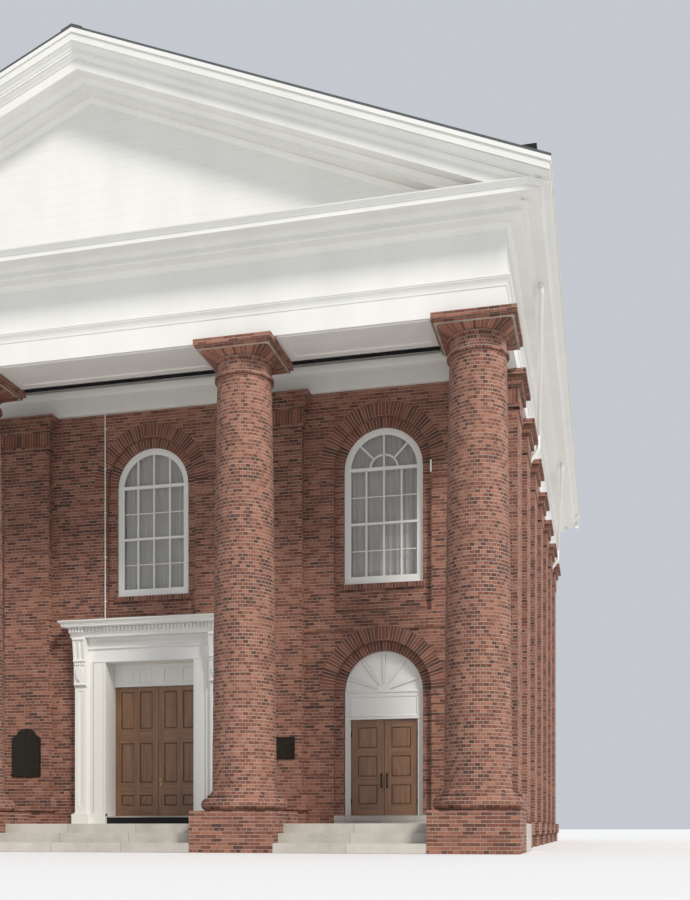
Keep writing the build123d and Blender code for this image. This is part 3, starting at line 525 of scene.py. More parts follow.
# Finishes of the frame's nodes. All others are painted white.
NODE_FINISHES = {
    "brick": ("column_plinths", "front_wall_base", "front_wall_piers", "front_wall_arches",
              "front_wall_lintel", "front_wall_upper", "right_wall", "left_wall",
              "rear_wall", "front_pilasters", "rear_pilasters", "side_pilasters"),
    "round_brick": ("column_bases", "column_shafts"),
    "capital_brick": ("column_capitals",),
    "stone": ("porch_floor", "front_steps", "door_thresholds"),
    "boards": ("tympanums",),
    "door": ("main_door_leaf_left", "main_door_leaf_right", "right_door_leaf_left",
             "right_door_leaf_right", "left_door_leaves"),
    "floor_boards": ("ground_floor", "upper_floor"),
    "plaster": ("hall_ceiling",),
    "slate": ("roof_ridge_cap",),
    "roof_boards": ("roof_slope_right", "roof_slope_left"),
    "glass": ("window_glass_upper", "window_glass_lower"),
}


def dress_nodes():
    """Gives each frame node its finish."""
    finishes = {node: finish for finish, nodes in NODE_FINISHES.items() for node in nodes}
    for node, made in NODES.items():
        made.data.materials.clear()
        made.data.materials.append(MATERIALS[finishes.get(node, "paint")])


# Shapes


def ring(centre, axis, radius, sides, along=0.0):
    """Points round an axis, at a distance along it from a centre."""
    turn = Vector(axis).to_track_quat("Z", "X").to_matrix()
    angles = [2 * math.pi * i / sides for i in range(sides)]
    return [Vector(centre) + turn @ Vector((radius * math.cos(a), radius * math.sin(a), along))
            for a in angles]


class Piece:
    """Collects the faces of one piece, in place or turned to face another wall."""

    def __init__(self):
        self.mesh = bmesh.new()
        self.turn = Matrix.Identity(4)
        self.slot = 0

    def skin(self, rings, closed=False):
        """Joins rings of equal length with faces, and caps the ends unless it is closed."""
        made = [[self.mesh.verts.new(self.turn @ Vector(corner)) for corner in corners]
                for corners in rings]
        pairs = list(zip(made, made[1:]))
        if closed:
            pairs.append((made[-1], made[0]))
        faces = []
        for low, high in pairs:
            for i, corner in enumerate(low):
                j = (i + 1) % len(low)
                faces.append(self.mesh.faces.new((corner, low[j], high[j], high[i])))
        if not closed:
            faces.append(self.mesh.faces.new(made[0][::-1]))
            faces.append(self.mesh.faces.new(made[-1]))
        for face in faces:
            face.material_index = self.slot
        return faces

    def box(self, x0, x1, y0, y1, z0, z1, bevel=0.0):
        """A box between two corners, in either order of x, its edges eased by the bevel."""
        x0, x1 = sorted((x0, x1))
        faces = self.skin([[(x0, y0, z), (x1, y0, z), (x1, y1, z), (x0, y1, z)]
                           for z in (z0, z1)])
        if bevel:
            edges = {edge for face in faces for edge in face.edges}
            bmesh.ops.bevel(self.mesh, geom=list(edges), offset=bevel, segments=1,
                            affect="EDGES", material=self.slot)

    def outline(self, points, y0, y1):
        """An outline of (x, z) points run from one depth to another."""
        self.skin([[(x, y, z) for x, z in points] for y in (y0, y1)])

    def arch_band(self, z, inner, outer, y0, y1, steps=24, start=0.0):
        """A band between two radii round an arch's centre at x = 0."""
        angles = [start + (math.pi - 2 * start) * i / steps for i in range(steps + 1)]
        self.skin([[(r * math.cos(a), y, z + r * math.sin(a))
                    for r, y in ((inner, y0), (outer, y0), (outer, y1), (inner, y1))]
                   for a in angles])

    def spoke(self, degrees, z, foot, tip, foot_half, tip_half, y0, y1):
        """A bar out from an arch's centre, from one radius to another."""
        x_ray, z_ray = math.cos(math.radians(degrees)), math.sin(math.radians(degrees))
        self.outline([(reach * x_ray - half * z_ray, z + reach * z_ray + half * x_ray)
                      for reach, half in ((foot, -foot_half), (tip, -tip_half),
                                          (tip, tip_half), (foot, foot_half))], y0, y1)

    def tube(self, start, end, radius, sides=10):
        """A round bar along a straight run."""
        run = Vector(end) - Vector(start)
        self.skin([ring(point, run, radius, sides) for point in (start, end)])

    def turned(self, centre, axis, profile, sides=24):
        """A turned shape: (distance along the axis, radius) pairs round a centre."""
        self.skin([ring(centre, axis, radius, sides, along) for along, radius in profile])

    def shape(self, name):
        """Turns the faces into an object."""
        bmesh.ops.recalc_face_normals(self.mesh, faces=self.mesh.faces)
        data = bpy.data.meshes.new(name)
        self.mesh.to_mesh(data)
        self.mesh.free()
        made = bpy.data.objects.new(name, data)
        bpy.context.scene.collection.objects.link(made)
        return made

    def done(self, name, materials, slot, body="church", replaces=(), smooth=False):
        """Turns the faces into a finished piece that rides on its body."""
        made = self.shape(name)
        for material in materials:
            made.data.materials.append(MATERIALS[material])
        if smooth:
            made.data.polygons.foreach_set("use_smooth", [True] * len(made.data.polygons))
            made.data.set_sharp_from_angle(angle=math.radians(40))
        settle(made, body, replaces)


def settle(made, body="church", replaces=()):
    """Ties a finished piece to its body, and hides the nodes that it replaces."""
    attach(made, body)
    if replaces:
        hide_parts(*replaces)


# Geometry Nodes trees


class Tree(Wiring):
    """A Geometry Nodes tree while it is wired."""

    def __init__(self, name, inputs):
        self.tree = bpy.data.node_groups.new(name, "GeometryNodeTree")
        for label, kind in (("Geometry", "Geometry"), *inputs, ("Material", "Material")):
            self.tree.interface.new_socket(label, in_out="INPUT",
                                           socket_type=f"NodeSocket{kind}")
        self.tree.interface.new_socket("Geometry", in_out="OUTPUT",
                                       socket_type="NodeSocketGeometry")
        self.source = self.tree.nodes.new("NodeGroupInput").outputs
        self.index = self.node("GeometryNodeInputIndex").outputs[0]

    def times(self, vector, factor):
        """A vector made longer by a factor."""
        return self.node("ShaderNodeVectorMath", {0: vector, "Scale": factor},
                         operation="SCALE").outputs[0]

    def close(self, count, place, turn=(0, 0, 0)):
        """Puts the source shape at each place, makes it real and gives it its material."""
        points = self.node("GeometryNodePoints", {"Count": count, "Position": place})
        copies = self.node("GeometryNodeInstanceOnPoints", {
            "Points": points.outputs[0], "Instance": self.source["Geometry"],
            "Rotation": turn})
        real = self.node("GeometryNodeRealizeInstances", {0: copies.outputs[0]})
        dressed = self.node("GeometryNodeSetMaterial", {"Geometry": real.outputs[0],
                                                        "Material": self.source["Material"]})
        self.node("NodeGroupOutput", {0: dressed.outputs[0]})
        return self.tree


def rows_tree():
    """Repeats a shape in rows, with a little seeded unevenness."""
    tree = Tree("repeat_in_rows", [
        ("Across", "Int"), ("Up", "Int"), ("Step across", "Vector"), ("Step up", "Vector"),
        ("Unevenness", "Vector"), ("Seed", "Int")])
    source = tree.source
    column = tree.math("MODULO", tree.index, source["Across"])
    row = tree.math("FLOOR", tree.math("DIVIDE", tree.index, source["Across"]))
    uneven = tree.node("FunctionNodeRandomValue", {
        0: tree.times(source["Unevenness"], -1.0), 1: source["Unevenness"],
        "Seed": source["Seed"]}, data_type="FLOAT_VECTOR").outputs[0]
    place = tree.vector("ADD", tree.times(source["Step across"], column),
                        tree.times(source["Step up"], row))
    return tree.close(tree.math("MULTIPLY", source["Across"], source["Up"]),
                      tree.vector("ADD", place, uneven))


def arc_tree():
    """Repeats a shape round an arch, turning it about the arch's centre."""
    tree = Tree("repeat_round_arch", [("Count", "Int"), ("Centre", "Vector"),
                                      ("Start", "Float"), ("Sweep", "Float")])
    source = tree.source
    share = tree.math("DIVIDE", tree.math("ADD", tree.index, 0.5), source["Count"])
    angle = tree.scaled(share, source["Sweep"], source["Start"])
    return tree.close(source["Count"], source["Centre"], tree.joined(y=angle))


TREES = {}


def grown(piece, name, build_tree, material, place, values):
    """Repeats a piece's faces with a tree, and ties the plain mesh that comes out."""
    if build_tree not in TREES:
        TREES[build_tree] = build_tree()
    made = piece.shape(name)
    modifier = made.modifiers.new("repeat", "NODES")
    modifier.node_group = TREES[build_tree]
    values = {"Material": MATERIALS[material], **values}
    for item in TREES[build_tree].interface.items_tree:
        if item.in_out == "INPUT" and item.name in values:
            modifier[item.identifier] = values[item.name]
    evaluated = made.evaluated_get(bpy.context.evaluated_depsgraph_get())
    shape = bpy.data.meshes.new_from_object(evaluated)
    made.modifiers.clear()
    shape.name = name
    made.data = shape
    shape.transform(place)
    settle(made)


def in_rows(piece, name, material, place, across, step, up=1, step_up=(0, 0, 0),
            uneven=(0, 0, 0), seed=1):
    """Repeats a piece's faces across and up."""
    grown(piece, name, rows_tree, material, place, {
        "Across": across, "Up": up, "Step across": step, "Step up": step_up,
        "Unevenness": uneven, "Seed": seed})


# Masonry


def wedge_bricks(name, turn, z, inner, outer, y0, y1, count):
    """A half ring of bricks on end round an arch."""
    joint = 0.006
    half_in, half_out = (radius * math.sin(math.pi / count / 2) - joint
                         for radius in (inner, outer))
    piece = Piece()
    piece.skin([[(inner, y, -half_in), (outer, y, -half_out), (outer, y, half_out),
                 (inner, y, half_in)] for y in (y0, y1)])
    grown(piece, name, arc_tree, "loose_brick", turn, {
        "Count": count, "Centre": (0, 0, z), "Start": -math.pi, "Sweep": math.pi})


def upright_bricks(name, turn, half, z0, z1, y0, y1):
    """A band of bricks stood on end, to each side of the middle."""
    count = max(1, round(2 * half / BRICK_HEIGHT))
    step = 2 * half / count
    joint = 0.005
    piece = Piece()
    piece.box(-step / 2 + joint, step / 2 - joint, y0, y1, z0 + joint, z1 - joint)
    place = turn @ Matrix.Translation((step / 2 - half, 0, 0))
    in_rows(piece, name, "loose_brick", place, count, (step, 0, 0),
            uneven=(0, 0.001, 0), seed=3)


def wall_turn(wall, along):
    """A turn that takes a shape facing the street to a wall's face, at a place along it."""
    degrees, x, y = {"front": (0, along, WALL_Y), "right": (90, WALL_X, along),
                     "rear": (180, along, REAR_Y), "left": (-90, -WALL_X, along)}[wall]
    return Matrix.Translation((x, y, 0)) @ Matrix.Rotation(math.radians(degrees), 4, "Z")


def arches():
    """Every arch as (wall, place along it, spring, recess, radius, ring on the string)."""
    bays, springs = (-BAY_X, 0, BAY_X), (LOWER_SPRING, UPPER_SPRING)
    found = [("front", x, LOWER_SPRING, RECESS_R, OPENING_R, True) for x in (-BAY_X, BAY_X)]
    found += [("front", x, UPPER_SPRING, RECESS_R, OPENING_R, False) for x in bays]
    found += [("rear", x, z, 0, OPENING_R, False) for x in bays for z in springs]
    found += [(wall, y, z, 0, SIDE_OPENING_R, False) for wall in ("right", "left")
              for y in SIDE_WINDOWS_Y for z in springs]
    return found


def build_arches():
    """Rings of bricks on end round every arch, their keys and their mortar."""
    bed = Piece()
    long, short, key_half = 0.31, 0.22, 0.15
    for number, (wall, along, spring, recess, radius, on_string) in enumerate(arches()):
        turn = bed.turn = wall_turn(wall, along)
        proud, key = (0.032, 0.056) if on_string else (0.01, 0.031)
        name = f"arch_{number}"
        if recess:
            wedge_bricks(f"{name}_ring", turn, spring, recess - 0.004, recess + long,
                         -proud, 0.095, 55)
            wedge_bricks(f"{name}_inner_ring", turn, spring, radius - 0.004, recess - 0.006,
                         0.092, 0.2, 42)
            top = spring + recess
            upright_bricks(f"{name}_key", turn, key_half, top + 0.004, top + long - 0.004,
                           -key, -proud - 0.002)
            bed.arch_band(spring, recess - 0.001, recess + long + 0.002, 0.004 - proud, 0.098)
            bed.arch_band(spring, radius - 0.001, recess, 0.095, 0.205)
            bed.box(-key_half - 0.001, key_half + 0.001, 0.004 - key, 0, top + 0.002,
                    top + long - 0.002)
        else:
            count = round(math.pi * (radius + short / 2) / BRICK_HEIGHT)
            wedge_bricks(f"{name}_ring", turn, spring, radius - 0.004, radius + short, -proud,
                         0.12, count)
            bed.arch_band(spring, radius - 0.001, radius + short + 0.002, 0.004 - proud, 0.12)
    bed.done("arch_mortar", ["mortar"], "brick")


def build_courses():
    """Bricks on end in the window sills, and in bands round the necks of the pilasters."""
    bed, fillet = Piece(), Piece()
    for number, (wall, along, sill, _, radius, _, _, _) in enumerate(windows()):
        bed.turn = wall_turn(wall, along)
        half = radius + 0.048
        front, back = (0.042, 0.052) if wall == "front" else (-0.04, 0.02)
        upright_bricks(f"sill_{number}", bed.turn, half, sill - 0.109, sill - 0.001, front, back)
        bed.box(-half, half, front + 0.004, back, sill - 0.108, sill - 0.002)
    low, high = 9.2, 9.5
    pilasters = (-INNER_COLUMN_X, INNER_COLUMN_X, -CORNER_PILASTER_X, CORNER_PILASTER_X)
    for number, x in enumerate(pilasters):
        for wall, along in (("front", x), ("rear", -x)):
            if wall == "rear" and abs(x) == CORNER_PILASTER_X:
                continue
            bed.turn = fillet.turn = wall_turn(wall, along)
            upright_bricks(f"neck_{wall}_{number}", bed.turn, 0.585, low, high, -0.181, -0.16)
            bed.box(-0.588, 0.588, -0.177, -0.17, low, high)
            fillet.box(-0.618, 0.618, -0.207, 0.001, low - 0.08, low - 0.005, 0.004)
    bed.done("band_mortar", ["mortar"], "brick")
    fillet.done("neck_fillets", ["brick"], "brick")


# Windows


def window_sash(piece, radius, sill, spring, panes, fan):
    """Two sashes and an arched head, in a wall's frame with the glass at y = 0."""
    clear = radius - 0.09
    bar = sizes_now().bar / 2
    back = -GLASS_HALF
    front = back - sizes_now().bar_depth
    stile, edge = 0.05, 0.004
    middle = (sill + spring) / 2 + 0.07
    foot = sill + 0.09
    uprights = [-clear + 2 * clear * i / panes for i in range(1, panes)]
    for x in (-clear, clear - stile):
        piece.box(x, x + stile, front - 0.012, back, foot, spring, edge)
    for z0, z1, out in ((foot, foot + 0.09, 0.014), (middle - 0.025, middle + 0.025, 0.02),
                        (spring - 0.035, spring + 0.035, 0.022)):
        piece.box(-clear, clear, front - out, back, z0, z1, edge)
    for low, high in ((foot + 0.09, middle - 0.025), (middle + 0.025, spring - 0.035)):
        for x in uprights:
            piece.box(x - bar, x + bar, front, back, low, high)
        z = (low + high) / 2
        piece.box(-clear + stile, clear - stile, front + 0.01, back, z - bar / 2, z + bar / 2)
    rim = clear - 0.045
    piece.arch_band(spring, rim, clear, front - 0.012, back, 28)
    if fan:
        hub = rim * 0.42
        piece.arch_band(spring, hub - bar, hub + bar, front, back, 16)
        for degrees, low in ((45, hub), (90, 0.03), (135, hub)):
            piece.spoke(degrees, spring, low, rim, bar, bar, front, back)
    else:
        for x in uprights:
            top = math.sqrt(rim ** 2 - x ** 2)
            piece.box(x - bar, x + bar, front, back, spring + 0.03, spring + top + 0.005)


def window_sill(piece, radius, sill, depth):
    """A painted sill under a window, sloped to shed water. depth is out from the glass."""
    half = radius - 0.002
    piece.skin([[(x, y, z) for y, z in ((-depth, sill + 0.012), (-0.07, sill + 0.03),
                                        (-0.07, sill + 0.001), (-depth, sill + 0.001))]
                for x in (-half, half)])


def curtain_pair(piece, radius, sill, spring, y):
    """Two hanging curtains that meet at the middle of a window."""
    reach, steps, thick = radius - 0.03, 22, 0.004
    for side in (-1, 1):
        folds = []
        for i in range(steps + 1):
            x = side * reach * i / steps
            front = y + 0.018 * math.sin(i * 1.9 + radius * 5 + spring)
            top = spring + math.sqrt(max(0.0, (radius - 0.02) ** 2 - x ** 2))
            folds.append([(x, front, sill + 0.04), (x, front, top), (x, front + thick, top),
                          (x, front + thick, sill + 0.04)])
        piece.skin(folds)


def windows():
    """Every window as (wall, place along it, sill, spring, radius, glass depth, panes, fan)."""
    bays = (-BAY_X, 0, BAY_X)
    found = [("front", x, UPPER_SILL, UPPER_SPRING, OPENING_R, FRONT_GLASS, 4, x != 0)
             for x in bays]
    for sill, spring in ((LOWER_SILL, LOWER_SPRING), (UPPER_SILL, UPPER_SPRING)):
        found += [("rear", x, sill, spring, OPENING_R, REAR_GLASS, 4, True) for x in bays]
        found += [(wall, y, sill, spring, SIDE_OPENING_R, SIDE_GLASS, 2, True)
                  for wall in ("right", "left") for y in SIDE_WINDOWS_Y]
    return found


def build_windows():
    """Sashes, bars, sills and curtains of every window."""
    for wall in ("front", "right", "rear", "left"):
        sashes, curtains = Piece(), Piece()
        for where, along, sill, spring, radius, glass, panes, fan in windows():
            if where == wall:
                turn = wall_turn(wall, along) @ Matrix.Translation((0, glass, 0))
                sashes.turn = curtains.turn = turn
                window_sash(sashes, radius, sill, spring, panes, fan)
                window_sill(sashes, radius, sill, glass - (0.095 if wall == "front" else 0.005))
                curtain_pair(curtains, radius, sill, spring, 0.1)
        sashes.done(f"sashes_{wall}", ["paint"], "painted_wood")
        curtains.done(f"curtains_{wall}", ["curtain"], "painted_wood", smooth=True)


# Doors


def ring_of(x0, x1, z0, z1, inset, y):
    """Four corners of an upright rectangle drawn in from its edges."""
    return [(x0 + inset, y, z0 + inset), (x1 - inset, y, z0 + inset),
            (x1 - inset, y, z1 - inset), (x0 + inset, y, z1 - inset)]


def edge_mould(piece, x0, x1, z0, z1, profile):
    """A mitred moulding inside a rectangle. profile holds (inset, y) pairs."""
    rings = [ring_of(x0, x1, z0, z1, inset, y) for inset, y in profile]
    piece.skin([[corners[i] for corners in rings] for i in range(4)], closed=True)


def panel_mould(piece, x0, x1, z0, z1, face, depth):
    """The moulding round a leaf's panel. A depth below zero sinks towards the street."""
    lip = math.copysign(1, depth)
    edge_mould(piece, x0, x1, z0, z1, [
        (0, face + lip * 0.0005), (0.007, face + lip * 0.0005), (0.012, face + lip * 0.007),
        (sizes_now().mould, face + depth), (0, face + depth)])


def raised_panel(piece, x0, x1, z0, z1, back, front):
    """A panel with a raised field inside a rectangle, its back and its front given."""
    middle = (back * 2 + front) / 3
    piece.skin([ring_of(x0, x1, z0, z1, inset, y)
                for inset, y in ((0, back), (0, middle), (0.035, front))])


def between(low, spans, high):
    """The solid lengths that sunk spans leave between two ends."""
    edges = [low] + [edge for span in spans for edge in span] + [high]
    return list(zip(edges[::2], edges[1::2]))


def door_leaf(name, node, body, bands, columns, stile, street, hall):
    """A framed and panelled leaf that stands in for its node."""
    low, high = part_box(node)
    hinge_left = "left" in node.split("leaf")[1]
    x0 = low.x + (LEAF_CLEARANCE if hinge_left else 0)
    x1 = high.x - (0 if hinge_left else LEAF_CLEARANCE)
    height = high.z - low.z
    panel = (x1 - x0 - (columns + 1) * stile) / columns
    spans = [(low.z + a * height, low.z + b * height) for a, b in bands]
    stiles = [x0 + i * (panel + stile) for i in range(columns + 1)]
    panels = [(left + stile, left + stile + panel) for left in stiles[:-1]]
    piece = Piece()
    for left in stiles:
        piece.box(left, left + stile, street, hall, low.z, high.z, 0.0015)
    for a, b in panels:
        for z0, z1 in spans:
            # The mouldings take the darker wood: painted shade in the sunk edge of each panel
            piece.slot = 3
            panel_mould(piece, a, b, z0, z1, street, 0.017)
            panel_mould(piece, a, b, z0, z1, hall, -0.017)
            piece.slot = 0
            for front in (street + 0.008, hall - 0.008):
                raised_panel(piece, a, b, z0, z1, (street + hall) / 2, front)
    piece.slot = 1
    for a, b in panels:
        for z0, z1 in between(low.z, spans, high.z):
            piece.box(a, b, street + 0.0006, hall - 0.0006, z0, z1, 0.0015)
    piece.slot = 2
    pin_x = low.x + 0.011 if hinge_left else high.x - 0.011
    pin_y = street if "right_door" in node else hall
    for z in (low.z + 0.3, high.z - 0.3):
        piece.turned((pin_x, pin_y, z), (0, 0, 1), [
            (-0.06, 0.008), (-0.056, 0.0108), (-0.021, 0.0108), (-0.02, 0.0096),
            (-0.019, 0.0108), (0.019, 0.0108), (0.02, 0.0096), (0.021, 0.0108),
            (0.056, 0.0108), (0.06, 0.008)], 16)
    piece.done(f"{name}_boards", ["door", "door_rail", "iron", "door_mould_painted_shade"], "door_wood", body,
               (node,))


def main_leaves():
    """The two leaves of the main door, and the knob on the right one."""
    street = LEAF_BACK_Y - 0.081
    for side in ("left", "right"):
        door_leaf(f"main_{side}", f"main_door_leaf_{side}", f"main_leaf_{side}",
                  ((0.08, 0.165), (0.259, 0.566), (0.676, 0.966)), 2, 0.14, street,
                  LEAF_BACK_Y - 0.011)
    knob = Piece()
    knob.turned((0.062, street + 0.001, 1.575), (0, -1, 0), [
        (0, 0.03), (0.006, 0.03), (0.009, 0.024), (0.011, 0.011), (0.035, 0.009),
        (0.04, 0.02), (0.05, 0.0285), (0.062, 0.0285), (0.07, 0.02), (0.072, 0.004)])
    knob.box(0.05, 0.074, street - 0.004, street + 0.001, 1.44, 1.51, 0.001)
    knob.done("main_door_knob", ["brass"], "door_wood", "main_leaf_right", smooth=True)


def overpanel():
    """Planted boards over the main door that leave four sunk panels in two pairs."""
    over = Piece()
    y1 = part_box("main_door_overpanel")[0].y + 0.0005
    y0 = y1 - 0.016
    z0, z1 = 3.708, HEAD_Z
    spans = [(-0.911, -0.599), (-0.46, -0.148), (0.148, 0.46), (0.599, 0.911)]
    for a, b in between(-MAIN_DOOR_HALF, spans, MAIN_DOOR_HALF):
        over.box(a, b, y0, y1, z0, z1, 0.002)
    for a, b in spans:
        over.box(a, b, y0, y1, z0, z0 + 0.085, 0.002)
        over.box(a, b, y0, y1, z1 - 0.1, z1, 0.002)
        edge_mould(over, a, b, z0 + 0.085, z1 - 0.1, [
            (0, y0 - 0.004), (0.01, y0 - 0.006), (0.022, y1), (0, y1)])
    over.box(-MAIN_DOOR_HALF, MAIN_DOOR_HALF, y0 - 0.02, y0, z0 + 0.002, z0 + 0.035, 0.004)
    over.done("overpanel_boards", ["paint"], "painted_wood")


def surround():
    """Sunk strips in the door's pilasters, the stepped architrave, feet and neck moulds."""
    trim = Piece()
    face, board = WALL_Y - 0.17, WALL_Y - 0.09
    foot_z, neck_z = 0.8, 3.655
    for side in (-1, 1):
        for a, b, z0, z1 in ((1.484, 1.58, foot_z, neck_z), (1.67, 1.766, foot_z, neck_z),
                             (1.58, 1.67, foot_z, 0.98), (1.58, 1.67, 3.57, neck_z)):
            trim.box(side * a, side * b, face - 0.014, face + 0.001, z0, z1, 0.003)
        for a, b, out in ((1.36, 1.478, 0.022), (1.36, 1.4, 0.034), (1.062, 1.1, 0.014)):
            trim.box(side * a, side * b, board - out, board + 0.001, HALL_Z + 0.002, HEAD_Z,
                     0.003)
        trim.box(side * 1.466, side * 1.784, face - 0.02, face + 0.01, neck_z, neck_z + 0.02,
                 0.004)
        trim.box(side * 1.455, side * 1.795, face - 0.034, face + 0.01, foot_z - 0.01,
                 foot_z + 0.015, 0.006)
        trim.box(side * 1.06, side * 1.478, board - 0.024, board + 0.09, PORCH_Z + 0.001,
                 HALL_Z + 0.06, 0.003)
    trim.box(-MAIN_DOOR_HALF - 0.0005, MAIN_DOOR_HALF + 0.0005, board, -7.017, HEAD_Z - 0.012,
             HEAD_Z - 0.001)
    for half, low, high, out, bevel in ((1.478, 0, 0.04, 0.014, 0.003),
                                        (1.478, 0.3, 0.34, 0.034, 0.003),
                                        (1.31, 0.43, 0.458, 0.02, 0.004)):
        trim.box(-half, half, board - out, board + 0.001, HEAD_Z + low, HEAD_Z + high, bevel)
    trim.done("door_surround_trim", ["paint"], "painted_wood")
    foot = Piece()
    foot.box(-MAIN_DOOR_HALF, MAIN_DOOR_HALF, WALL_Y - 0.02, WALL_Y + 0.001, PORCH_Z + 0.002,
             HALL_Z - 0.03)
    foot.slot = 1
    foot.box(-MAIN_DOOR_HALF, MAIN_DOOR_HALF, WALL_Y - 0.05, WALL_Y + 0.02, HALL_Z - 0.03,
             HALL_Z + 0.004, 0.002)
    foot.done("main_door_foot", ["iron", "stone"], "stone")


def consoles():
    """Ribs, rolls, drops and a leaf on each console of the main door."""
    scrolls = Piece()
    face = WALL_Y - 0.17
    z_top, z_low = 4.77, 3.68

    def out_at(z):
        """How far a console's front stands out at a height."""
        share = (z - z_low) / (z_top - z_low)
        return 0.045 + 0.04 * share if share < 0.5 else 0.065 + 0.13 * (share - 0.5)

    for mid in (-1.625, 1.625):
        for a, b in ((-0.142, -0.1), (-0.02, 0.02), (0.1, 0.142)):
            scrolls.skin([[(mid + x, face - out_at(z) + y, z)
                           for x, y in ((a, -0.018), (b, -0.018), (b, 0.01), (a, 0.01))]
                          for z in (4.27 + 0.06 * i for i in range(8))])
        for z, radius in ((4.245, 0.034), (4.725, 0.03), (3.715, 0.024)):
            scrolls.turned((mid - 0.15, face - out_at(z), z), (1, 0, 0), [
                (0, radius * 0.6), (0.006, radius), (0.294, radius), (0.3, radius * 0.6)], 20)
        for i in range(5):
            scrolls.turned((mid - 0.11 + 0.055 * i, face - out_at(4.15) - 0.004, 4.21),
                           (0, 0, -1), [(0, 0.012), (0.03, 0.019), (0.052, 0.02),
                                        (0.064, 0.012), (0.068, 0.002)], 12)
        leaf = [(0.0, 4.1), (0.075, 4.06), (0.09, 3.97), (0.06, 3.86), (0.0, 3.78)]
        outline = [(mid + x, z) for x, z in leaf] + [(mid - x, z) for x, z in leaf[3:0:-1]]
        scrolls.outline(outline, face - 0.085, face - 0.03)
    scrolls.done("door_consoles", ["paint"], "painted_wood", smooth=True)


def door_cornice():
    """Dentils, blocks and the crown of the main door's cornice."""
    dentil = sizes_now().dentil
    half, end, head_y, crown_y = 2.0, 1.86, WALL_Y - 0.26, WALL_Y - 0.4
    small = Piece()
    small.box(-dentil / 2, dentil / 2, head_y - 0.04, head_y + 0.001, 4.885, 4.975, 0.002)
    count = int(2.92 / (2 * dentil)) + 1
    in_rows(small, "door_dentils", "paint",
            Matrix.Translation((-dentil * (count - 1), 0, 0)), count, (2 * dentil, 0, 0))
    large = Piece()
    for side in (-1, 1):
        x0, x1 = sorted((side * 1.482, side * 1.858))
        large.box(x0, x1, head_y - 0.03, head_y + 0.001, 4.852, 4.998, 0.003)
        for i in range(5):
            x = x0 + 0.038 + 0.075 * i
            large.box(x - 0.024, x + 0.024, head_y - 0.075, head_y - 0.02, 4.88, 4.985, 0.003)
        for i in range(3):
            y = head_y + 0.03 + 0.085 * i
            large.box(side * 1.855, side * 1.9, y, y + 0.048, 4.88, 4.985, 0.003)
    large.box(-half, half, crown_y, WALL_Y - 0.02, HEAD_TOP + 0.0005, HEAD_TOP + 0.012, 0.002)
    large.done("door_cornice_blocks", ["paint"], "painted_wood")
    crown = Piece()
    moulding_run(crown, [(-half, WALL_Y), (-half, crown_y), (half, crown_y), (half, WALL_Y)],
                 [(out, HEAD_TOP - drop) for out, drop in (
                     (-0.001, 0.1), (0.008, 0.1), (0.012, 0.08), (0.03, 0.057),
                     (0.052, 0.034), (0.06, 0.017), (0.06, 0), (-0.001, 0))])
    moulding_run(crown, [(-end, WALL_Y), (-end, head_y), (end, head_y), (end, WALL_Y)],
                 [(-0.001, 4.985), (0.08, 4.985), (0.09, 5.0), (-0.001, 5.0)])
    crown.done("door_crown", ["paint"], "painted_wood")


def build_main_door():
    """The panelled double door, its overpanel, surround, consoles and cornice."""
    main_leaves()
    overpanel()
    surround()
    consoles()
    door_cornice()


def door_pull(piece, x, street):
    """An upright bar on two feet, on a leaf's street side."""
    z0, z1, bar_y, wood_y = 1.33, 1.65, street - 0.05, street + 0.001
    piece.tube((x, bar_y, z0), (x, bar_y, z1), 0.014, 12)
    for z in (z0 + 0.03, z1 - 0.03):
        piece.tube((x, wood_y, z), (x, bar_y, z), 0.009)
        piece.turned((x, wood_y, z), (0, -1, 0), [(0, 0.022), (0.005, 0.022), (0.008, 0.012)],
                     14)


def build_side_doors():
    """Both side doors: leaves, pulls, jamb moulds, the transom panel and the sunburst."""
    street = WALL_Y + 0.23
    stile, pull_x = 0.15, 0.062
    bands = ((0.113, 0.321), (0.406, 0.624), (0.707, 0.925))
    for side, sign in (("left", -1), ("right", 1)):
        door_leaf(f"right_door_{side}", f"right_door_leaf_{side}", f"right_leaf_{side}",
                  bands, 1, stile, street, street + 0.055)
        pull = Piece()
        door_pull(pull, BAY_X + sign * pull_x, street)
        pull.done(f"right_door_pull_{side}", ["iron"], "door_wood", f"right_leaf_{side}",
                  smooth=True)

    # The left door's leaves are one fixed node
    fixed, pulls = Piece(), Piece()
    low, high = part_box("left_door_leaves")
    height = 2.052
    for x0, x1 in ((low.x + LEAF_CLEARANCE, -BAY_X - 0.004),
                   (-BAY_X + 0.004, high.x - LEAF_CLEARANCE)):
        for z0, z1 in [(low.z + a * height, low.z + b * height) for a, b in bands]:
            a, b = x0 + stile, x1 - stile
            # The mouldings take the darker wood: painted shade in the sunk edge of each panel
            fixed.slot = 1
            panel_mould(fixed, a, b, z0, z1, street, 0.015)
            fixed.slot = 0
            raised_panel(fixed, a, b, z0, z1, street + 0.016, street + 0.007)
    for sign in (-1, 1):
        door_pull(pulls, -BAY_X + sign * pull_x, street)
    fixed.done("left_door_panels", ["door", "door_mould_painted_shade"], "door_wood")
    pulls.done("left_door_pulls", ["iron"], "door_wood", smooth=True)
    side_door_trim()


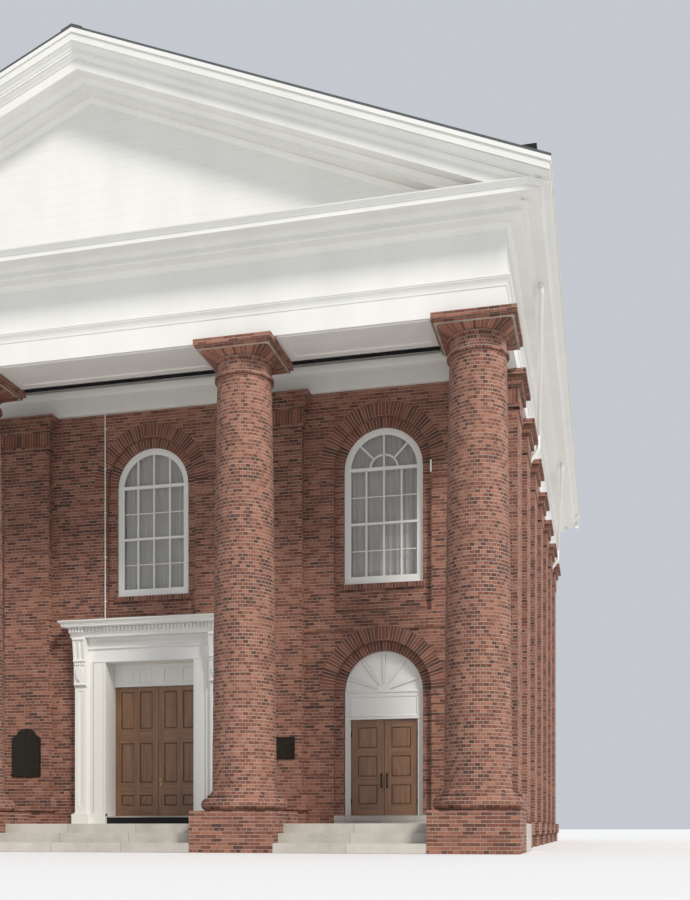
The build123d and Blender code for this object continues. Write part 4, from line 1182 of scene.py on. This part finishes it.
def side_door_trim():
    """Moulds round both side doors, the transom panel and the sunburst over it."""
    trim = Piece()
    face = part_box("side_door_heads")[0].y
    back = face + 0.001
    hub_z = LOWER_SPRING + 0.012
    shelf_z, panel_z = LOWER_SPRING - 0.03, LOWER_SPRING - 0.1
    for bay in (-BAY_X, BAY_X):
        trim.turn = Matrix.Translation((bay, 0, 0))
        for side in (-1, 1):
            trim.box(side * 0.737, side * 0.775, face - 0.012, back, HALL_Z + 0.002, 2.8, 0.003)
            trim.box(side * 0.78, side * 0.857, face - 0.02, back, HALL_Z + 0.002, shelf_z,
                     0.004)
        for half, out, z0, z1, bevel in ((0.855, 0.026, 2.81, 2.86, 0.004),
                                         (0.855, 0.03, shelf_z, hub_z, 0.004),
                                         (0.78, 0.012, panel_z, shelf_z, 0.003)):
            trim.box(-half, half, face - out, back, z0, z1, bevel)
        edge_mould(trim, -0.735, 0.735, 2.87, panel_z, [
            (0, face - 0.012), (0.012, face - 0.015), (0.035, face - 0.002), (0.035, face),
            (0, face)])
        trim.arch_band(hub_z, 0.79, 0.845, face - 0.016, back, 36, 0.02)
        trim.arch_band(hub_z, 0.0005, 0.13, face - 0.022, back, 16)

        # Ribs that widen to the rim, with a strip of painted shade down each side
        for degrees in (20, 55, 90, 125, 160):
            for trim.slot, foot_half, tip_half, out in ((0, 0.014, 0.034, 0.026),
                                                        (1, 0.02, 0.042, 0.004)):
                trim.spoke(degrees, hub_z, 0.16, 0.785, foot_half, tip_half, face - out, back)
            trim.slot = 0
    trim.done("side_door_trim", ["paint", "paint_shade_strip"], "painted_wood")


# Woodwork


def moulding_run(piece, path, profile, closed=False):
    """Sweeps a profile of (out, z) pairs along a plan path, out to the path's right."""
    ends = path[1:] + path[:1] if closed else path[1:]
    normals = []
    for start, end in zip(path, ends):
        run = (Vector(end) - Vector(start)).normalized()
        normals.append(Vector((run.y, -run.x)))
    if not closed:
        normals.append(normals[-1])
    rings = []
    for i, (x, y) in enumerate(path):
        before = normals[i - 1] if (i or closed) else normals[0]
        mitre = (before + normals[i]) / (1 + before.dot(normals[i]))
        rings.append([(x + mitre.x * out, y + mitre.y * out, z) for out, z in profile])
    piece.skin(rings, closed)


def rake_run(piece, y, sign, profile, reach):
    """Sweeps a profile of (out, depth under the roof's top) pairs up and down a gable."""
    piece.skin([[(x, y - sign * out, ROOF_HIGH.z - SLOPE * abs(x) - depth)
                 for out, depth in profile] for x in (-reach, 0, reach)])


ENTABLATURE_MOULDS = (
    [(-0.001, 10.29), (0.01, 10.29), (0.014, 10.33), (0.028, 10.37), (0.052, 10.41),
     (0.052, 10.42), (-0.001, 10.42)],
    [(0.055, 10.44), (0.072, 10.45), (0.072, 10.49), (0.055, 10.5)],
    [(-0.001, 11.29), (0.012, 11.29), (0.02, 11.32), (0.07, 11.35), (0.1, 11.39),
     (0.1, 11.402), (-0.001, 11.402)],
    [(0.299, 11.4), (0.315, 11.42), (0.315, 11.46), (0.299, 11.46)],
    [(0.299, 11.53), (0.32, 11.54), (0.36, 11.58), (0.4, 11.601), (0.299, 11.601)],
    [(0.619, 11.605), (0.63, 11.605), (0.63, 11.63), (0.619, 11.63)],
    [(0.619, 11.7), (0.632, 11.7), (0.64, 11.725), (0.66, 11.75), (0.695, 11.78),
     (0.7, 11.801), (0.619, 11.801)])

# Each gable mould as (half length, profile)
GABLE_MOULDS = (
    (8.97, [(0.819, 0.15), (0.825, 0.15), (0.823, 0.17), (0.819, 0.26)]),
    (8.97, [(0.72, 0.27), (0.8, 0.27), (0.79, 0.3), (0.752, 0.33), (0.735, 0.365),
            (0.72, 0.37)]),
    (8.97, [(0.62, 0.41), (0.7, 0.41), (0.69, 0.44), (0.65, 0.475), (0.634, 0.5),
            (0.62, 0.5)]),
    (8.6, [(0.299, 0.69), (0.4, 0.69), (0.36, 0.72), (0.315, 0.76), (0.299, 0.77)]),
    (7.1, [(0.0, 0.851), (0.07, 0.851), (0.055, 0.89), (0.02, 0.93), (0.0, 0.96)]))


def build_woodwork():
    """Mouldings of the entablature and the gables, soffit panels and ceiling boards."""
    runs, rakes, porch, board = Piece(), Piece(), Piece(), Piece()
    loop = [(-FACE_X, FACE_Y), (FACE_X, FACE_Y), (FACE_X, -FACE_Y), (-FACE_X, -FACE_Y)]
    for profile in ENTABLATURE_MOULDS:
        moulding_run(runs, loop, profile, closed=True)
    runs.done("entablature_moulds", ["paint"], "painted_wood")
    for y, sign in ((FACE_Y, 1), (-FACE_Y, -1)):
        for reach, profile in GABLE_MOULDS:
            rake_run(rakes, y, sign, profile, reach)
    rakes.done("gable_moulds", ["paint"], "painted_wood")

    # Moulds of the band on the porch wall, and of the beam's inner edge
    band_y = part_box("porch_wall_band")[0].y
    beam_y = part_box("entablature_front")[1].y
    band = [(-BEAM_X, band_y), (BEAM_X, band_y)]
    for path, profile in (
            (band, [(-0.001, 10.2), (0.012, 10.2), (0.02, 10.25), (0.06, 10.31),
                    (0.075, 10.36), (0.08, 10.4), (-0.001, 10.4)]),
            (band, [(-0.001, 9.86), (0.01, 9.86), (0.01, 9.93), (-0.001, 9.93)]),
            ([(BEAM_X, beam_y), (-BEAM_X, beam_y)],
             [(-0.001, 10.3), (0.012, 10.3), (0.035, 10.35), (0.045, 10.4),
              (-0.001, 10.4)])):
        moulding_run(porch, path, profile)

    # Soffit panels between the capitals, and along the side beams
    clear, margin = 0.82, 0.06
    for x0, x1 in ((-OUTER_COLUMN_X, -INNER_COLUMN_X), (-INNER_COLUMN_X, INNER_COLUMN_X),
                   (INNER_COLUMN_X, OUTER_COLUMN_X)):
        soffit_frame(porch, x0 + clear, x1 - clear, FACE_Y + margin, beam_y - margin)
    for side in (-1, 1):
        x0, x1 = sorted((side * (BEAM_X + margin), side * (FACE_X - margin)))
        soffit_frame(porch, x0, x1, COLUMN_Y + 0.83, PILASTER_Y - 0.25)
    # A dark iron strip on the ceiling along the wall band: painted shade in the gap where the
    # ceiling meets the band
    porch.slot = 1
    porch.box(-BEAM_X, BEAM_X, band_y - 0.2, band_y - 0.02, CEILING_Z - 0.018,
              CEILING_Z - 0.002)
    porch.done("porch_moulds", ["paint", "iron"], "painted_wood")

    step = 0.14
    board.box(-0.068, 0.068, beam_y + 0.001, band_y - 0.001, CEILING_Z - 0.014,
              CEILING_Z + 0.001, 0.003)
    count = int(2 * BEAM_X / step)
    in_rows(board, "porch_ceiling_boards", "paint",
            Matrix.Translation((-step / 2 * (count - 1), 0, 0)), count, (step, 0, 0),
            uneven=(0, 0, 0.0015), seed=sizes_now().random_seed)


def soffit_frame(piece, x0, x1, y0, y1):
    """Boards under a beam's soffit that leave a sunk panel with a moulded edge."""
    width, drop = 0.13, 0.02
    for a, b, c, d in ((x0, x1, y0, y0 + width), (x0, x1, y1 - width, y1),
                       (x0, x0 + width, y0 + width, y1 - width),
                       (x1 - width, x1, y0 + width, y1 - width)):
        piece.box(a, b, c, d, CAPITAL_Z - drop, CAPITAL_Z + 0.001, 0.003)


# Roof


def build_roof():
    """Slates on both slopes with half slates at the gables, and the ridge's joints."""
    exposure, width = sizes_now().slate_length, sizes_now().slate_width
    slope = math.atan(SLOPE)
    along = Vector((-math.cos(slope), 0, math.sin(slope)))
    normal = Vector((math.sin(slope), 0, math.cos(slope)))
    reach = -ROOF_LOW.y
    count = int(2 * reach / width)
    rows = int((ROOF_HIGH.x - 0.16) / math.cos(slope) / exposure)
    foot_x = ROOF_HIGH.x - 0.018
    foot = Vector((foot_x, 0, ROOF_HIGH.z - SLOPE * foot_x))
    length = exposure * 1.45
    half = width / 2 - 0.0025
    shift = width * (count - 1) / 2

    def slate(half, lead):
        """One slate of the right slope, at a distance up from its foot."""
        base = foot + along * lead
        piece = Piece()
        piece.skin([[base + along * u + normal * n + Vector((0, y, 0))
                     for n, y in ((n0, -half), (n0, half), (n1, half), (n1, -half))]
                    for u, n0, n1 in ((0, 0.004, 0.0105), (length, 0.0005, 0.004))])
        return piece

    # Rows as (name, half width, lead, slates across, step, first y, rows up)
    jobs = (("even", half, 0, count, width, -shift, (rows + 1) // 2),
            ("odd", half, exposure, count - 1, width, width / 2 - shift, rows // 2),
            ("half", half / 2, exposure, 2, width * count - width / 2, -shift - width / 4,
             rows // 2))
    for side, degrees in (("right", 0), ("left", 180)):
        turn = Matrix.Rotation(math.radians(degrees), 4, "Z")
        for name, breadth, lead, across, step, first, up in jobs:
            in_rows(slate(breadth, lead), f"slates_{side}_{name}", "slate",
                    turn @ Matrix.Translation((0, first, 0)), across, (0, step, 0), up,
                    tuple(along * exposure * 2), (0.0008, 0.0015, 0.0004),
                    sizes_now().random_seed)

    caps = Piece()
    joints, cap_half = 36, 0.222
    top = ROOF_HIGH.z + 0.0235
    for i in range(1, joints + 1):
        y = -reach + 2 * reach * i / (joints + 1)
        caps.skin([[(x, y + dy, top - SLOPE * abs(x) + lift)
                    for x, lift in ((-cap_half, -0.02), (-cap_half, 0.0012), (0, 0.0012),
                                    (cap_half, 0.0012), (cap_half, -0.02))]
                   for dy in (-0.02, 0.02)])
    caps.done("ridge_joints", ["iron"], "slate")


# Fittings


def build_fittings():
    """Plaques, the conduit, the lamp box, pipe brackets and the box on the eave."""
    plaques = Piece()
    face = PILASTER_Y
    right_half = [(0.36, 1.64), (0.36, 2.52), (0.33, 2.56), (0.28, 2.58), (0.24, 2.62),
                  (0.2, 2.69), (0.1, 2.74)]
    outline = [(-0.36, 1.64), *right_half, (0, 2.755)]
    outline += [(-x, z) for x, z in right_half[:0:-1]]
    centre, middle = -INNER_COLUMN_X, 2.14
    plaques.outline([(centre + x, z) for x, z in outline], face - 0.022, face + 0.001)
    plaques.outline([(centre + x * 0.93, middle + (z - middle) * 0.95) for x, z in outline],
                    face - 0.03, face - 0.02)
    x0, x1, z0, z1 = INNER_COLUMN_X - 0.06, INNER_COLUMN_X + 0.41, 1.96, 2.44
    plaques.box(x0, x1, face - 0.022, face + 0.001, z0, z1, 0.004)
    edge_mould(plaques, x0, x1, z0, z1, [(0.002, face - 0.021), (0.008, face - 0.03),
                                         (0.02, face - 0.03), (0.026, face - 0.021)])
    for x in (centre - 0.31, centre + 0.31):
        for z in (1.69, 2.5):
            plaques.turned((x, face - 0.029, z), (0, -1, 0), [(0, 0.014), (0.004, 0.012),
                                                              (0.008, 0.004)], 12)
    plaques.done("plaques", ["bronze"], "stone")

    pipes = Piece()
    x, y = -1.09, WALL_Y - 0.04
    pipes.tube((x, y, HEAD_TOP + 0.013), (x, y, 9.84), 0.014)
    for z in (5.6, 6.6, 7.6, 8.6, 9.5):
        pipes.box(x - 0.025, x + 0.025, WALL_Y - 0.042, WALL_Y + 0.001, z, z + 0.025, 0.002)
    pipes.box(6.335, 6.37, WALL_Y - 0.06, WALL_Y + 0.001, 7.97, 8.22, 0.004)
    low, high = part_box("downspouts")
    pipe_r = 0.05
    for y in (low.y + pipe_r + 4.25, high.y - pipe_r):
        for side in (-1, 1):
            for z in (0.45, 2.4, 4.6, 6.8, 9.0):
                pipes.turned((side * (WALL_X + pipe_r), y, z), (0, 0, 1), [
                    (-0.018, 0.051), (-0.018, 0.057), (0.018, 0.057), (0.018, 0.051)], 20)
    pipes.done("pipes_and_brackets", ["paint"], "pipe_paint", smooth=True)

    box = Piece()
    x0, x1 = 8.46, 8.76
    top = ROOF_HIGH.z - SLOPE * x0
    box.box(x0, x1, -10.95, -10.7, top - 0.16, top + 0.11, 0.006)
    box.done("eave_box", ["iron"], "slate")


# Stage


def build_stage():
    """A plain pale floor, a soft high sun, sky fill and the photo's camera."""
    scene = bpy.context.scene
    floor = Finish("stage_floor", 0.9)
    floor.wire(floor.surface, {"Base Color": (*colours_now().floor, 1)})
    mesh = bpy.data.meshes.new("stage_floor")
    reach = 400
    mesh.from_pydata([(-reach, -reach, -0.002), (reach, -reach, -0.002),
                      (reach, reach, -0.002), (-reach, reach, -0.002)], [], [(0, 1, 2, 3)])
    mesh.materials.append(floor.material)
    ground = bpy.data.objects.new("stage_floor", mesh)

    sun_data = bpy.data.lights.new("sun", "SUN")
    sun_data.energy = 3.0
    sun_data.angle = math.radians(14)
    sun_data.color = (1.0, 0.97, 0.92)
    sun = bpy.data.objects.new("sun", sun_data)
    sun.rotation_euler = Vector((-0.75, 0.62, -0.8)).to_track_quat("-Z", "Y").to_euler()

    camera_data = bpy.data.cameras.new("camera")
    camera_data.sensor_fit = "HORIZONTAL"
    camera_data.sensor_width = 36
    camera_data.lens = 56.3
    camera_data.shift_y = 0.548
    camera_data.clip_end = 1000
    camera = bpy.data.objects.new("camera", camera_data)
    camera.location = (9.9, -29.96, 0.47)
    camera.rotation_euler = (math.radians(90), 0, math.radians(13.51))

    for made in (ground, sun, camera):
        scene.collection.objects.link(made)
    scene.camera = camera

    world = bpy.data.worlds.new("studio")
    world.use_nodes = True
    sky = world.node_tree.nodes["Background"].inputs
    sky[0].default_value = (0.82, 0.86, 0.92, 1)
    sky[1].default_value = 0.68
    scene.world = world
    scene.view_settings.view_transform = "Standard"


class CHURCH_OT_stage(bpy.types.Operator):
    """Sets the floor, the light and the camera"""

    bl_idname = "church.stage"
    bl_label = "Stage"

    def execute(self, context):
        build_stage()
        return {"FINISHED"}


class CHURCH_OT_finishes(bpy.types.Operator):
    """Makes the finishes and gives them to the frame"""

    bl_idname = "church.finishes"
    bl_label = "Finishes"

    def execute(self, context):
        make_materials()
        dress_nodes()
        return {"FINISHED"}


class CHURCH_OT_arches(bpy.types.Operator):
    """Lays the rings of bricks round the arches"""

    bl_idname = "church.arches"
    bl_label = "Arches"

    def execute(self, context):
        build_arches()
        return {"FINISHED"}


class CHURCH_OT_courses(bpy.types.Operator):
    """Lays the bands of upright bricks"""

    bl_idname = "church.courses"
    bl_label = "Brick bands"

    def execute(self, context):
        build_courses()
        return {"FINISHED"}


class CHURCH_OT_windows(bpy.types.Operator):
    """Makes the sashes, the sills and the curtains"""

    bl_idname = "church.windows"
    bl_label = "Windows"

    def execute(self, context):
        build_windows()
        return {"FINISHED"}


class CHURCH_OT_main_door(bpy.types.Operator):
    """Makes the main door and its surround"""

    bl_idname = "church.main_door"
    bl_label = "Main door"

    def execute(self, context):
        build_main_door()
        return {"FINISHED"}


class CHURCH_OT_side_doors(bpy.types.Operator):
    """Makes the side doors and their heads"""

    bl_idname = "church.side_doors"
    bl_label = "Side doors"

    def execute(self, context):
        build_side_doors()
        return {"FINISHED"}


class CHURCH_OT_woodwork(bpy.types.Operator):
    """Makes the mouldings and the porch's boards"""

    bl_idname = "church.woodwork"
    bl_label = "Woodwork"

    def execute(self, context):
        build_woodwork()
        return {"FINISHED"}


class CHURCH_OT_roof(bpy.types.Operator):
    """Lays the slates"""

    bl_idname = "church.roof"
    bl_label = "Roof"

    def execute(self, context):
        build_roof()
        return {"FINISHED"}


class CHURCH_OT_fittings(bpy.types.Operator):
    """Adds plaques, pipes and brackets"""

    bl_idname = "church.fittings"
    bl_label = "Fittings"

    def execute(self, context):
        build_fittings()
        return {"FINISHED"}


OPERATORS = (CHURCH_OT_stage, CHURCH_OT_finishes, CHURCH_OT_arches, CHURCH_OT_courses,
             CHURCH_OT_windows, CHURCH_OT_main_door, CHURCH_OT_side_doors,
             CHURCH_OT_woodwork, CHURCH_OT_roof, CHURCH_OT_fittings)


class CHURCH_PT_panel(bpy.types.Panel):
    """Steps of the church in the order they run"""

    bl_idname = "CHURCH_PT_panel"
    bl_label = "Brick church"
    bl_space_type = "VIEW_3D"
    bl_region_type = "UI"
    bl_category = "Church"

    def draw(self, context):
        layout = self.layout
        for group in (context.scene.church_colours, context.scene.church_sizes):
            box = layout.box()
            for name in group.bl_rna.properties.keys():
                if name not in ("name", "rna_type"):
                    box.prop(group, name)
        for operator in OPERATORS:
            layout.operator(operator.bl_idname)


CLASSES = (ChurchColours, ChurchSizes, *OPERATORS, CHURCH_PT_panel)


def register():
    """Adds the add-on's classes and settings."""
    for cls in CLASSES:
        bpy.utils.register_class(cls)
    bpy.types.Scene.church_colours = PointerProperty(type=ChurchColours)
    bpy.types.Scene.church_sizes = PointerProperty(type=ChurchSizes)


def unregister():
    """Takes the add-on's classes and settings away."""
    del bpy.types.Scene.church_sizes
    del bpy.types.Scene.church_colours
    for cls in reversed(CLASSES):
        bpy.utils.unregister_class(cls)


def main():
    """Builds everything in order."""
    register()
    for operator in OPERATORS:
        group, name = operator.bl_idname.split(".")
        getattr(getattr(bpy.ops, group), name)()


if __name__ == "__main__":
    main()
